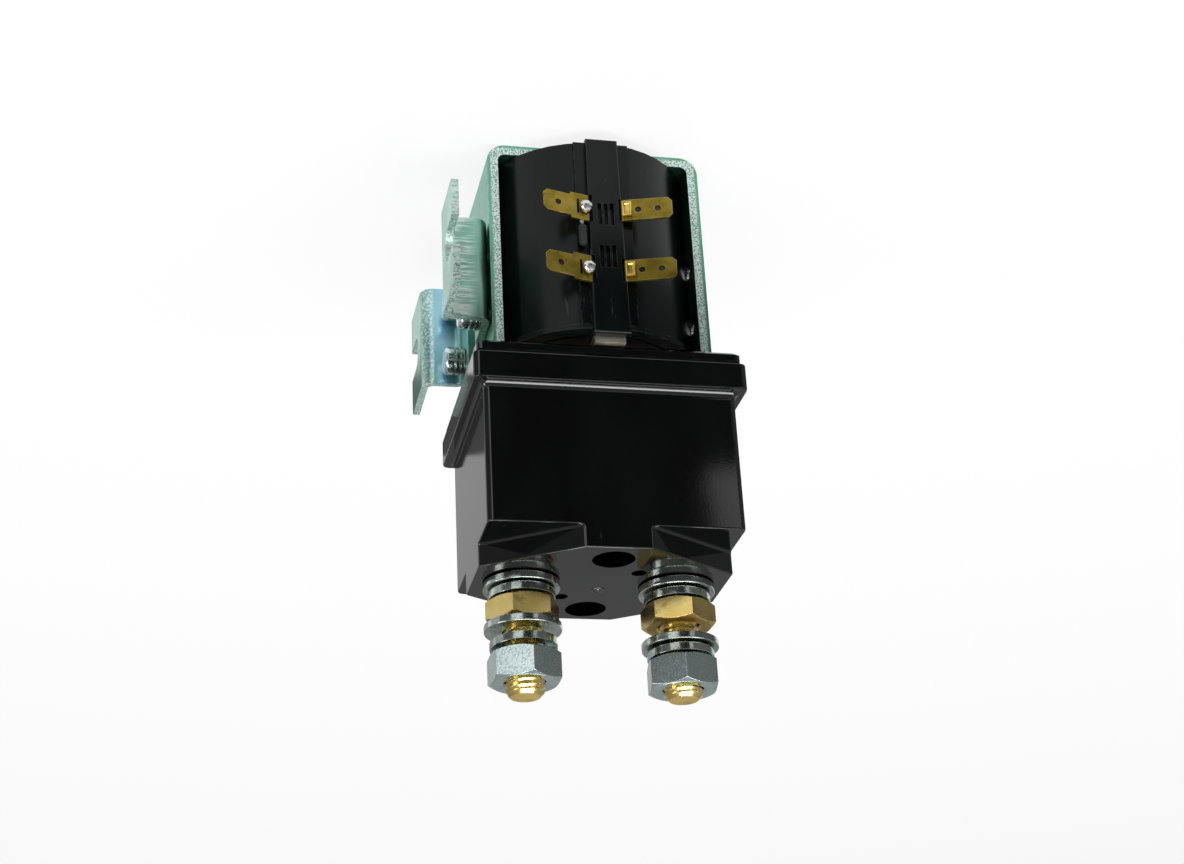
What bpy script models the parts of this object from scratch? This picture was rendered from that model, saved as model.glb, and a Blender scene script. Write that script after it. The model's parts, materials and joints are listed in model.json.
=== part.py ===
# DC power contactor, single pole, normally open. Metres, +Z up.
# It stands on the closed end of its yoke, with the studs up. The plunger's axis is Z, the coil
# terminals look along -Y and the mounting brackets are on the +X side. The origin is the centre of the
# yoke's closed end.

import math

import bmesh
import bpy
from mathutils import Matrix, Vector

# Clearances
SEAT_GAP = 0.0003
STACK_GAP = 0.0002
THREAD_GAP = 0.0002

# Yoke: one strap folded into a U
YOKE_PLATE = 0.003
YOKE_WIDTH = 0.0588
YOKE_DEPTH = 0.0402
YOKE_HEIGHT = 0.0638
YOKE_CORNER = 0.005
YOKE_HOLE_INSET = 0.0069
YOKE_HOLE_DROP = 0.0141
YOKE_HOLE_PITCH = 0.017
SCREW_SIZE = 0.005

# Magnet
POLE_PLATE = 0.003
POLE_TENON = 0.0154
POLE_TONGUE = 0.0080
POLE_TONGUE_REACH = 0.0286
POLE_RADIUS = 0.0112
POLE_SHANK = 0.0065
POLE_POCKET = 0.008
PLUNGER_RADIUS = 0.011
PLUNGER_LENGTH = 0.028
PLUNGER_POCKET = 0.010
PLUNGER_TRAVEL = 0.005
BUFFER_RADIUS = 0.010
BUFFER_HEIGHT = 0.0024
POCKET_RADIUS = 0.006

# Coil
BOBBIN_BORE = 0.0115
BOBBIN_WALL = 0.0015
BOBBIN_FLANGE = 0.0015
WINDING_RADIUS = 0.0242
JACKET_RADIUS = 0.0293
LIP_RADIUS = 0.0302
LIP_HEIGHT = 0.0015
LIP_STEP = 0.00005
RIDGE_LOW_HALF = 0.0044
RIDGE_HIGH_HALF = 0.0051
RIDGE_FRONT = 0.0313
RIDGE_TOP = 0.0622
SHOULDER_HALF = 0.0075
SHOULDER_FRONT = 0.0293
SLOT_HEIGHT = 0.0066
SLOT_WIDTH = 0.0044
SLOT_DEPTH = 0.0016
SLOT_RIB = 0.0006
LOW_SLOT_LEVEL = 0.0267
HIGH_SLOT_LEVEL = 0.0396

# Coil terminals: 6.3 mm blades of brass strip
BLADE_WIDTH = 0.0063
BLADE_THICKNESS = 0.0008
BLADE_END = 0.0174
BLADE_TILT = 15.5
BLADE_FOOT = 0.0044
BLADE_FOOT_DEPTH = 0.0018
BLADE_RISE = 0.0307
BLADE_CHAMFER = 0.0011
BLADE_NOTCH = 0.0013
ROOT_WIDTH = 0.0078
ROOT_LENGTH = 0.0052
ROOT_STEP = 0.0002
BLADE_HOLE = 0.0017
RIGHT_HOLES = (0.0132,)
LEFT_HOLES = (0.0086, 0.0136)
WIRE_SLOT_X = 0.0076
WIRE_SLOT_WIDTH = 0.0006
WIRE_SLOT_LENGTH = 0.0044
LOW_BLADE_LEVEL = 0.0252
HIGH_BLADE_LEVEL = 0.0436
SOLDER_RADIUS = 0.0019
SOLDER_X = 0.0057
SLEEVE_RADIUS = 0.0011
SLEEVE_LENGTH = 0.0062
SLEEVE_LEVEL = 0.0332

# Mouldings
BASE_PLATE = 0.0033
BASE_INSET = 0.001
BASE_REGISTER = 0.0026
HOUSING_HEIGHT = 0.0520
HOUSING_WALL = 0.0035
FLANGE_SIDE_LIP = 0.0028
FLANGE_FRONT_LIP = 0.003
FLANGE_HEIGHT = 0.0075
COVE_STEP = 0.0011
COVE_HEIGHT = 0.0022
BODY_WIDTH = 0.0664
BODY_DEPTH = 0.0510
BODY_CORNER = 0.0016
EDGE_ROUND = 0.0007
END_WALL = 0.010
NOSE_HEIGHT = 0.0062
NOSE_FLAT = 0.0172
NOSE_SIDE = 0.0204
NOSE_FILLET = 0.0008
NOSE_EDGE_ANGLE = 31
WELL_RADIUS = 0.0055
WELL_SPACING = 0.0352
WELL_FLOOR = 0.0820
COLUMN_WALL = 0.002
PIN_HOLE_RADIUS = 0.002
PIN_HOLE_DEPTH = 0.004
PIN_HOLE_X = 0.0085
PIN_HOLE_Y = 0.009
SPINDLE_HOLE = 0.0045

# Contacts
STUD_INSET = 0.0127
STUD_RADIUS = 0.005
STUD_REACH = 0.0308
STUD_CHAMFER = 0.001
STUD_HEAD = 0.0034
STUD_HEAD_WIDTH = 0.015
TIP_RADIUS = 0.0045
TIP_HEIGHT = 0.0017
CONTACT_GAP = 0.004
BAR_END = 0.0055
BAR_WIDTH = 0.014
BAR_THICKNESS = 0.004
BUSH_RADIUS = 0.0042
BUSH_FLANGE_RADIUS = 0.0072
BUSH_FLANGE = 0.001
SPINDLE_RADIUS = 0.003
SPINDLE_NECK = 0.0022
SPINDLE_FOOT = 0.004
SPINDLE_TIP = 0.002
CLIP_HEIGHT = 0.0008
CLIP_RADIUS = 0.0042
CLIP_GROOVE = 0.0004
CLIP_MOUTH = 0.0022
SEAT_RADIUS = 0.0075
SEAT_HEIGHT = 0.0026
CONTACT_SPRING_LENGTH = 0.0068
CONTACT_SPRING_RADIUS = 0.0056
CONTACT_SPRING_WIRE = 0.0012
CONTACT_SPRING_TURNS = 3.5
RETURN_SPRING_RADIUS = 0.0046
RETURN_SPRING_WIRE = 0.0009
RETURN_SPRING_TURNS = 6

# Stud hardware, M10
NUT_WIDTH = 0.017
NUT_SPARE = 0.0004
NUT_CHAMFER_ANGLE = 28
NUT_FACE_WIDTH = 0.0164
BRASS_NUT = 0.006
STEEL_NUT = 0.008
WASHER_RADIUS = 0.010
WASHER_THICKNESS = 0.002
LOCK_RADIUS = 0.0087
LOCK_THICKNESS = 0.0021
LOCK_RISE = 0.0004
OPEN_LOCK_RISE = 0.0013
LOCK_MOUTH = 9
STUD_CLEARANCE = 0.0003
LOOSE_WASHER_LIFT = 0.0037
LOOSE_LOCK_LIFT = 0.0017

# Brackets: two plates folded twice
BRACKET_PLATE = 0.002
BRACKET_RISE = 0.0043
BRACKET_HEIGHT = 0.030
BRACKET_INNER_EDGE = 0.006
BRACKET_STEP = 0.0004
BRACKET_FACE = 0.0425
BRACKET_FOOT = 0.0185
BRACKET_BEND = 0.0016
BRACKET_SLOT_WIDTH = 0.0088
BRACKET_SLOT_DEPTH = 0.0125
BRACKET_WASHER_RADIUS = 0.0040
BRACKET_WASHER = 0.0011
BRACKET_LOCK_RADIUS = 0.0039
BRACKET_LOCK = 0.0011
BRACKET_LOCK_RISE = 0.0002
BRACKET_HEAD_RADIUS = 0.0039
BRACKET_HEAD = 0.0026
DRIVER_SLOT = 0.001
HOUSING_HEAD_RADIUS = 0.00425
HOUSING_HEAD = 0.005
HOUSING_SOCKET = 0.004
HOUSING_SOCKET_DEPTH = 0.0025

# Levels and half widths that follow
yoke_inner = YOKE_WIDTH / 2 - YOKE_PLATE
yoke_hole_y = YOKE_DEPTH / 2 - YOKE_HOLE_INSET
yoke_high_hole = YOKE_HEIGHT - YOKE_HOLE_DROP
yoke_low_hole = yoke_high_hole - YOKE_HOLE_PITCH
bracket_top = yoke_high_hole + BRACKET_RISE
bracket_low = bracket_top - BRACKET_HEIGHT
bracket_web = YOKE_DEPTH / 2 + BRACKET_STEP
bracket_reach = bracket_web + BRACKET_FOOT
flange_width = BODY_WIDTH + 2 * FLANGE_SIDE_LIP
flange_depth = BODY_DEPTH + 2 * FLANGE_FRONT_LIP
base_width = flange_width - 2 * BASE_INSET
base_depth = flange_depth - 2 * BASE_INSET
stud_x = BODY_WIDTH / 2 - STUD_INSET
well_y = WELL_SPACING / 2
bar_half = stud_x + BAR_END
coil_floor = YOKE_PLATE + SEAT_GAP
pole_plate_floor = YOKE_HEIGHT - POLE_PLATE
coil_top = pole_plate_floor - SEAT_GAP
plunger_floor = coil_floor + BUFFER_HEIGHT + SEAT_GAP
plunger_top = plunger_floor + PLUNGER_LENGTH
pole_floor = plunger_top + PLUNGER_TRAVEL + SEAT_GAP
base_floor = YOKE_HEIGHT + SEAT_GAP
base_top = base_floor + BASE_PLATE
housing_floor = base_top + SEAT_GAP
housing_top = housing_floor + HOUSING_HEIGHT
flange_top = housing_floor + FLANGE_HEIGHT
chamber_top = housing_top - END_WALL
chamber_half_x = BODY_WIDTH / 2 - HOUSING_WALL
chamber_half_y = BODY_DEPTH / 2 - HOUSING_WALL
nose_floor = housing_top - NOSE_HEIGHT
stud_top = housing_top + STUD_REACH
stud_head_top = chamber_top - SEAT_GAP
stud_head_floor = stud_head_top - STUD_HEAD
fixed_tip_floor = stud_head_floor - STACK_GAP - TIP_HEIGHT
moving_tip_top = fixed_tip_floor - CONTACT_GAP
bar_top = moving_tip_top - TIP_HEIGHT - STACK_GAP
bar_floor = bar_top - BAR_THICKNESS
bush_top = bar_top + SEAT_GAP
bush_floor = bar_floor - SEAT_GAP - BUSH_FLANGE
clip_floor = bush_top + SEAT_GAP
spindle_top = clip_floor + CLIP_HEIGHT + SPINDLE_TIP
contact_spring_floor = bush_floor - SEAT_GAP - CONTACT_SPRING_LENGTH
seat_top = contact_spring_floor - SEAT_GAP
seat_floor = seat_top - SEAT_HEIGHT
spindle_shoulder = seat_floor - SEAT_GAP
thread_hole = SCREW_SIZE / 2 + THREAD_GAP


def remove_all():
    for thing in list(bpy.data.objects):
        bpy.data.objects.remove(thing, do_unlink=True)


def make_material(name, colour, roughness, metallic):
    material = bpy.data.materials.new(name)
    material.use_nodes = True
    shader = material.node_tree.nodes["Principled BSDF"]
    shader.inputs["Base Color"].default_value = (*colour, 1.0)
    shader.inputs["Roughness"].default_value = roughness
    shader.inputs["Metallic"].default_value = metallic
    material.diffuse_color = (*colour, 1.0)
    return material


FINISHES = {
    "black plastic": ((0.012, 0.013, 0.012), 0.18, 0.0),
    "white plastic": ((0.70, 0.66, 0.55), 0.40, 0.0),
    "rubber": ((0.02, 0.02, 0.02), 0.80, 0.0),
    "zinc plate": ((0.56, 0.66, 0.64), 0.32, 1.0),
    "bright zinc": ((0.66, 0.70, 0.70), 0.22, 1.0),
    "brass": ((0.72, 0.52, 0.20), 0.28, 1.0),
    "terminal brass": ((0.55, 0.42, 0.18), 0.38, 1.0),
    "solder": ((0.72, 0.74, 0.75), 0.20, 1.0),
    "copper": ((0.72, 0.34, 0.20), 0.35, 1.0),
    "silver": ((0.80, 0.80, 0.78), 0.30, 1.0),
    "steel": ((0.50, 0.50, 0.50), 0.35, 1.0),
}


def place(name, bm, finish, location=(0, 0, 0), turn=0.0, parent=None):
    """Make one named sub-part from a bmesh, with a material of its own."""
    mesh = bpy.data.meshes.new(name)
    bm.to_mesh(mesh)
    bm.free()
    mesh.shade_smooth()
    mesh.set_sharp_from_angle(angle=math.radians(35))
    mesh.materials.append(make_material(name, *FINISHES[finish]))
    thing = bpy.data.objects.new(name, mesh)
    thing.location = location
    thing.rotation_euler = (0, 0, turn)
    thing.parent = parent
    bpy.context.collection.objects.link(thing)
    return thing


def combine(target, bm, operation, label):
    """Cut, join or intersect a sub-part with a hidden shape in the sub-part's own frame."""
    mesh = bpy.data.meshes.new(label)
    bm.to_mesh(mesh)
    bm.free()
    shape = bpy.data.objects.new(f"shape_{target.name}_{label}", mesh)
    shape.hide_render = True
    shape.display_type = "WIRE"
    shape.parent = target
    bpy.context.collection.objects.link(shape)
    modifier = target.modifiers.new(label, "BOOLEAN")
    modifier.operation = operation
    modifier.solver = "EXACT"
    modifier.object = shape


def cut(target, bm, label):
    combine(target, bm, "DIFFERENCE", label)


def add(target, bm, label):
    combine(target, bm, "UNION", label)


def soften(target, width, segments, angle):
    """Round the edges that the sub-part has so far, where they turn by more than the angle."""
    modifier = target.modifiers.new("edges", "BEVEL")
    modifier.width = width
    modifier.segments = segments
    modifier.limit_method = "ANGLE"
    modifier.angle_limit = math.radians(angle)


AXES = {
    "X": lambda u, v, w: Vector((w, u, v)),
    "Y": lambda u, v, w: Vector((u, w, v)),
    "Z": lambda u, v, w: Vector((u, v, w)),
}


def prism(outline, low, high, axis="Z"):
    """Extrude a closed outline along an axis; outline points are in the other two axes' order."""
    at = AXES[axis]
    bm = bmesh.new()
    face = bm.faces.new([bm.verts.new(at(u, v, low)) for u, v in outline])
    grown = bmesh.ops.extrude_face_region(bm, geom=[face])
    moved = [item for item in grown["geom"] if isinstance(item, bmesh.types.BMVert)]
    bmesh.ops.translate(bm, verts=moved, vec=at(0, 0, high - low))
    bmesh.ops.recalc_face_normals(bm, faces=bm.faces)
    return bm


def turned(profile, steps=28, axis="Z", centre=(0, 0, 0)):
    """Spin a profile of (radius, height) points round an axis; it closes on itself or on the axis."""
    bm = bmesh.new()
    points = [bm.verts.new((radius, 0, height)) for radius, height in profile]
    edges = [bm.edges.new(pair) for pair in zip(points, points[1:])]
    if profile[0][0] > 0:
        edges.append(bm.edges.new((points[-1], points[0])))
    bmesh.ops.spin(bm, geom=points + edges, axis=(0, 0, 1), cent=(0, 0, 0), angle=math.tau,
                   steps=steps, use_merge=True)
    bmesh.ops.remove_doubles(bm, verts=bm.verts, dist=1e-6)
    if axis == "X":
        bmesh.ops.rotate(bm, verts=bm.verts, matrix=Matrix.Rotation(math.pi / 2, 3, "Y"))
    if axis == "Y":
        bmesh.ops.rotate(bm, verts=bm.verts, matrix=Matrix.Rotation(math.pi / 2, 3, "X"))
    bmesh.ops.translate(bm, verts=bm.verts, vec=centre)
    bmesh.ops.recalc_face_normals(bm, faces=bm.faces)
    return bm


def disc(radius, low, high, steps=28, axis="Z", centre=(0, 0)):
    """A plain round bar or cutter along an axis; centre is in the other two axes' order."""
    outline = []
    for step in range(steps):
        angle = math.tau * (step + 0.5) / steps
        outline.append((centre[0] + radius * math.cos(angle), centre[1] + radius * math.sin(angle)))
    return prism(outline, low, high, axis)


def block(half_u, half_v, low, high, axis="Z", centre=(0, 0)):
    corners = ((-1, -1), (1, -1), (1, 1), (-1, 1))
    outline = [(centre[0] + half_u * u, centre[1] + half_v * v) for u, v in corners]
    return prism(outline, low, high, axis)


def skinned(rings, closed=False):
    """Skin a row of rings of equal length, and cap its ends unless the row closes on itself."""
    bm = bmesh.new()
    loops = [[bm.verts.new(point) for point in ring] for ring in rings]
    pairs = list(zip(loops, loops[1:]))
    if closed:
        pairs.append((loops[-1], loops[0]))
    for first, second in pairs:
        for here in range(len(first)):
            there = (here + 1) % len(first)
            bm.faces.new((first[here], first[there], second[there], second[here]))
    if not closed:
        bm.faces.new(loops[0])
        bm.faces.new(loops[-1])
    bmesh.ops.recalc_face_normals(bm, faces=bm.faces)
    return bm


def arc(centre, radius, start, end, steps):
    """Points along an arc, both ends included, angles in degrees."""
    points = []
    for step in range(steps + 1):
        angle = math.radians(start + (end - start) * step / steps)
        points.append((centre[0] + radius * math.cos(angle), centre[1] + radius * math.sin(angle)))
    return points


def rounded_rectangle(half_u, half_v, radius, steps=3):
    outline = []
    quarters = ((1, 1, 0), (-1, 1, 90), (-1, -1, 180), (1, -1, 270))
    for u, v, start in quarters:
        centre = (u * (half_u - radius), v * (half_v - radius))
        outline += arc(centre, radius, start, start + 90, steps)
    return outline


def strip_outline(path, bend, thickness, steps=6):
    """Outline of a strip folded along a path, both sides offset; bend is the inner radius."""
    middle = []
    radius = bend + thickness / 2
    for index, corner in enumerate(path):
        here = Vector(corner)
        if index == 0:
            middle.append((here, (Vector(path[1]) - here).normalized()))
            continue
        back = (here - Vector(path[index - 1])).normalized()
        if index == len(path) - 1:
            middle.append((here, back))
            continue
        ahead = (Vector(path[index + 1]) - here).normalized()
        angle = back.angle_signed(ahead)
        reach = radius * math.tan(abs(angle) / 2)
        side = -1 if angle > 0 else 1
        centre = here - back * reach + Vector((-back.y, back.x)) * radius * side
        for step in range(steps + 1):
            turn = Matrix.Rotation(-angle * step / steps, 2)
            heading = turn @ back
            middle.append((centre - Vector((-heading.y, heading.x)) * radius * side, heading))
    left = []
    right = []
    for point, heading in middle:
        across = Vector((-heading.y, heading.x)) * thickness / 2
        left.append(tuple(point + across))
        right.append(tuple(point - across))
    return left + right[::-1]


def helix(radius, wire, low, high, turns, sides=5, steps_per_turn=10):
    """A round wire coiled between two levels, with its end turns closed."""
    climb = high - low - wire
    dead = wire * 1.08
    rings = []
    total = int(turns * steps_per_turn)
    for step in range(total + 1):
        turn = turns * step / total
        if turn < 1:
            rise = dead * turn
        elif turn > turns - 1:
            rise = climb - dead * (turns - turn)
        else:
            rise = dead + (climb - 2 * dead) * (turn - 1) / (turns - 2)
        angle = math.tau * turn
        out = Vector((math.cos(angle), math.sin(angle), 0))
        centre = out * radius + Vector((0, 0, low + wire / 2 + rise))
        ring = []
        for side in range(sides):
            bearing = math.tau * (side + 0.5) / sides
            ring.append(centre + out * wire / 2 * math.cos(bearing)
                        + Vector((0, 0, wire / 2 * math.sin(bearing))))
        rings.append(ring)
    return skinned(rings)


def split_ring(inner, outer, thickness, rise, axis="Z", steps=28):
    """A split lock washer that starts at level 0: a square section swept just short of a turn."""
    rings = []
    for step in range(steps + 1):
        part = step / steps
        angle = math.radians(LOCK_MOUTH / 2 + (360 - LOCK_MOUTH) * part)
        low = rise * part
        ring = []
        for radius, level in ((inner, 0), (outer, 0), (outer, thickness), (inner, thickness)):
            ring.append(AXES[axis](radius * math.cos(angle), radius * math.sin(angle), low + level))
        rings.append(ring)
    return skinned(rings)


def flat_washer(inner, outer, thickness, axis="Z", steps=32):
    return turned([(inner, 0), (outer, 0), (outer, thickness), (inner, thickness)], steps, axis)


def hexagon(width):
    radius = width / math.sqrt(3)
    return [(radius * math.cos(math.tau * side / 6), radius * math.sin(math.tau * side / 6))
            for side in range(6)]


def nut(name, height, finish, location, turn):
    """A hexagon nut with both ends chamfered, bored to clear the stud."""
    corner = NUT_WIDTH / math.sqrt(3) + NUT_SPARE
    flat = NUT_FACE_WIDTH / 2
    slope = (corner - flat) * math.tan(math.radians(NUT_CHAMFER_ANGLE))
    bore = STUD_RADIUS + THREAD_GAP
    thing = place(name, prism(hexagon(NUT_WIDTH), 0, height), finish, location, turn)
    profile = [(bore, 0), (flat, 0), (corner, slope), (corner, height - slope), (flat, height),
               (bore, height)]
    combine(thing, turned(profile, 36), "INTERSECT", "chamfers")
    return thing


def make_yoke():
    middle = YOKE_WIDTH / 2 - YOKE_PLATE / 2
    path = [(middle, YOKE_HEIGHT), (middle, YOKE_PLATE / 2), (-middle, YOKE_PLATE / 2),
            (-middle, YOKE_HEIGHT)]
    outline = strip_outline(path, YOKE_CORNER - YOKE_PLATE, YOKE_PLATE, 6)
    yoke = place("yoke", prism(outline, -YOKE_DEPTH / 2, YOKE_DEPTH / 2, "Y"), "zinc plate")
    side = YOKE_WIDTH / 2
    notch_floor = pole_plate_floor - SEAT_GAP
    notch = block(POLE_TENON / 2 + SEAT_GAP, YOKE_HEIGHT, notch_floor, notch_floor + 2 * POLE_PLATE)
    bmesh.ops.rotate(notch, verts=notch.verts, matrix=Matrix.Rotation(math.pi / 2, 3, "Z"))
    cut(yoke, notch, "tenon_notches")
    for sign in (-1, 1):
        for row, level in enumerate((yoke_low_hole, yoke_high_hole)):
            hole = disc(thread_hole, -side * 2, side * 2, 16, "X", (sign * yoke_hole_y, level))
            cut(yoke, hole, f"holes_{row}_{'front' if sign < 0 else 'rear'}")


def make_pole_plate():
    half_width = yoke_inner - SEAT_GAP
    plate = place("pole_plate", block(half_width, YOKE_DEPTH / 2, pole_plate_floor, YOKE_HEIGHT),
                  "zinc plate")
    add(plate, block(YOKE_WIDTH / 2, POLE_TENON / 2, pole_plate_floor, YOKE_HEIGHT), "tenons")
    add(plate, block(POLE_TONGUE / 2, POLE_TONGUE_REACH, pole_plate_floor, YOKE_HEIGHT), "tongues")
    below = pole_plate_floor - POLE_PLATE
    above = YOKE_HEIGHT + POLE_PLATE
    cut(plate, disc(POLE_SHANK + STACK_GAP, below, above), "pole_hole")
    for sign in (-1, 1):
        hole = disc(thread_hole, below, above, 16, "Z", (0, sign * well_y))
        cut(plate, hole, f"screw_hole_{'front' if sign < 0 else 'rear'}")


def make_fixed_pole():
    bore = SPINDLE_RADIUS + 2 * SEAT_GAP
    pocket_roof = pole_floor + POLE_POCKET
    profile = [(bore, YOKE_HEIGHT), (POLE_SHANK, YOKE_HEIGHT), (POLE_SHANK, coil_top),
               (POLE_RADIUS, coil_top), (POLE_RADIUS, pole_floor), (POCKET_RADIUS, pole_floor),
               (POCKET_RADIUS, pocket_roof), (bore, pocket_roof)]
    place("fixed_pole", turned(profile), "steel")
    return pocket_roof


def make_coil():
    tube = BOBBIN_BORE + BOBBIN_WALL
    profile = [(BOBBIN_BORE, coil_top), (WINDING_RADIUS, coil_top),
               (WINDING_RADIUS, coil_top - BOBBIN_FLANGE), (tube, coil_top - BOBBIN_FLANGE),
               (tube, coil_floor + BOBBIN_FLANGE), (WINDING_RADIUS, coil_floor + BOBBIN_FLANGE),
               (WINDING_RADIUS, coil_floor), (BOBBIN_BORE, coil_floor)]
    place("bobbin", turned(profile), "white plastic")
    low = coil_floor + BOBBIN_FLANGE + SEAT_GAP
    high = coil_top - BOBBIN_FLANGE - SEAT_GAP
    inner = tube + SEAT_GAP
    profile = [(inner, high), (WINDING_RADIUS, high), (WINDING_RADIUS, low), (inner, low)]
    place("winding", turned(profile), "copper")


def clipped_circle(radius, flat, steps=14):
    """Plan of the coil jacket: a circle flattened by the yoke's two side plates."""
    edge = math.degrees(math.acos(flat / radius))
    front = arc((0, 0), radius, -180 + edge, -edge, steps)
    rear = arc((0, 0), radius, edge, 180 - edge, steps)
    return front + rear


def make_jacket():
    """The moulded coil cover, with its front ridge, shoulders, lip and terminal slots."""
    flat = yoke_inner - SEAT_GAP
    jacket = place("coil_jacket", prism(clipped_circle(JACKET_RADIUS, flat), coil_floor, coil_top),
                   "black plastic")
    add(jacket, prism(clipped_circle(LIP_RADIUS, flat - SEAT_GAP), coil_top - LIP_HEIGHT,
                      coil_top - LIP_STEP), "lip")
    inside = -WINDING_RADIUS - SEAT_GAP - BLADE_THICKNESS
    shoulder = prism([(-SHOULDER_HALF, coil_floor + STACK_GAP), (SHOULDER_HALF, coil_floor + STACK_GAP),
                      (SHOULDER_HALF, coil_top - LIP_HEIGHT), (-SHOULDER_HALF, coil_top - LIP_HEIGHT)],
                     -SHOULDER_FRONT, inside, "Y")
    add(jacket, shoulder, "shoulders")
    tongue_clear = -POLE_TONGUE_REACH - SEAT_GAP
    ridge_outline = [(-RIDGE_LOW_HALF, coil_floor - STACK_GAP), (RIDGE_LOW_HALF, coil_floor - STACK_GAP),
                     (RIDGE_HIGH_HALF, RIDGE_TOP), (-RIDGE_HIGH_HALF, RIDGE_TOP)]
    ridge = prism(ridge_outline, -RIDGE_FRONT, tongue_clear, "Y")
    edges = [edge for edge in ridge.edges
             if all(abs(vert.co.y + RIDGE_FRONT) < 1e-6 for vert in edge.verts)]
    bmesh.ops.bevel(ridge, geom=edges, offset=EDGE_ROUND, segments=2, profile=0.5, affect="EDGES")
    add(jacket, ridge, "ridge")
    cut(jacket, disc(WINDING_RADIUS + SEAT_GAP, 0, YOKE_HEIGHT, 48), "bore")
    relief = YOKE_CORNER - YOKE_PLATE
    for side, sign in (("left", -1), ("right", 1)):
        wedge = [(sign * (flat - 2 * relief), coil_floor - relief),
                 (sign * (flat + relief), coil_floor - relief),
                 (sign * (flat + relief), coil_floor + 2 * relief)]
        cut(jacket, prism(wedge, -YOKE_DEPTH, YOKE_DEPTH, "Y"), f"corner_relief_{side}")
    cell = (SLOT_WIDTH - 2 * SLOT_RIB) / 3
    for row, level in enumerate((LOW_SLOT_LEVEL, HIGH_SLOT_LEVEL)):
        for column in (-1, 0, 1):
            centre = column * (cell + SLOT_RIB)
            slot = block(cell / 2, SLOT_HEIGHT / 2, -RIDGE_FRONT - SLOT_DEPTH,
                         -RIDGE_FRONT + SLOT_DEPTH, "Y", (centre, level))
            cut(jacket, slot, f"slot_{row}_{column + 1}")
    for row, level in enumerate((LOW_BLADE_LEVEL, HIGH_BLADE_LEVEL)):
        for side, sign in (("left", -1), ("right", 1)):
            width = ROOT_WIDTH if sign > 0 else BLADE_WIDTH
            pocket = block(BLADE_THICKNESS / 2 + STACK_GAP, width / 2 + STACK_GAP,
                           -RIDGE_FRONT * 2, -SHOULDER_FRONT + BLADE_FOOT_DEPTH + STACK_GAP,
                           "Y", (sign * BLADE_FOOT, level))
            cut(jacket, pocket, f"pocket_{row}_{side}")
            near = BLADE_FOOT - BLADE_THICKNESS / 2 - STACK_GAP
            notch = block((RIDGE_HIGH_HALF - near) / 2 + STACK_GAP, width / 2 + STACK_GAP,
                          -RIDGE_FRONT * 2, -RIDGE_FRONT + BLADE_NOTCH, "Y",
                          (sign * (RIDGE_HIGH_HALF + near) / 2, level))
            cut(jacket, notch, f"notch_{row}_{side}")


def blade_outline(sign, level):
    """Front view of a blade: its root, wider on the bracket side, and its chamfered free end."""
    half = BLADE_WIDTH / 2
    root = ROOT_WIDTH / 2 if sign > 0 else half
    chamfer = BLADE_CHAMFER
    start = BLADE_FOOT - 2 * BLADE_THICKNESS
    neck = BLADE_FOOT + ROOT_LENGTH
    tab = neck + ROOT_STEP
    shape = [(start, -root), (neck, -root), (tab, -half), (BLADE_END - chamfer, -half),
             (BLADE_END, -half + chamfer), (BLADE_END, half - chamfer), (BLADE_END - chamfer, half),
             (tab, half), (neck, root), (start, root)]
    return [(sign * u, level + v) for u, v in shape]


def make_terminals():
    """Blades folded from strip: a foot in the jacket's pocket and a tilted tab with one or two holes."""
    tilt = math.tan(math.radians(BLADE_TILT))
    beyond = BLADE_END + BLADE_THICKNESS * 2
    rise = BLADE_RISE + (beyond - BLADE_FOOT) * tilt
    front = -rise - BLADE_THICKNESS
    back = -SHOULDER_FRONT + BLADE_FOOT_DEPTH + BLADE_THICKNESS
    index = 0
    for sign in (1, -1):
        for level in (LOW_BLADE_LEVEL, HIGH_BLADE_LEVEL):
            index += 1
            path = [(sign * BLADE_FOOT, -SHOULDER_FRONT + BLADE_FOOT_DEPTH),
                    (sign * BLADE_FOOT, -BLADE_RISE), (sign * beyond, -rise)]
            strip = strip_outline(path, BLADE_THICKNESS * 0.5, BLADE_THICKNESS, 5)
            low = level - ROOT_WIDTH
            high = level + ROOT_WIDTH
            blade = place(f"coil_terminal_{index}", prism(strip, low, high), "terminal brass")
            outline = prism(blade_outline(sign, level), front, back, "Y")
            combine(blade, outline, "INTERSECT", "outline")
            for number, reach in enumerate(RIGHT_HOLES if sign > 0 else LEFT_HOLES):
                hole = disc(BLADE_HOLE / 2, front, back, 16, "Y", (sign * reach, level))
                cut(blade, hole, f"hole_{number}")
            if sign > 0:
                slot = block(WIRE_SLOT_WIDTH / 2, WIRE_SLOT_LENGTH / 2, front, back, "Y",
                             (WIRE_SLOT_X, level))
                cut(blade, slot, "wire_slot")


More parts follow.
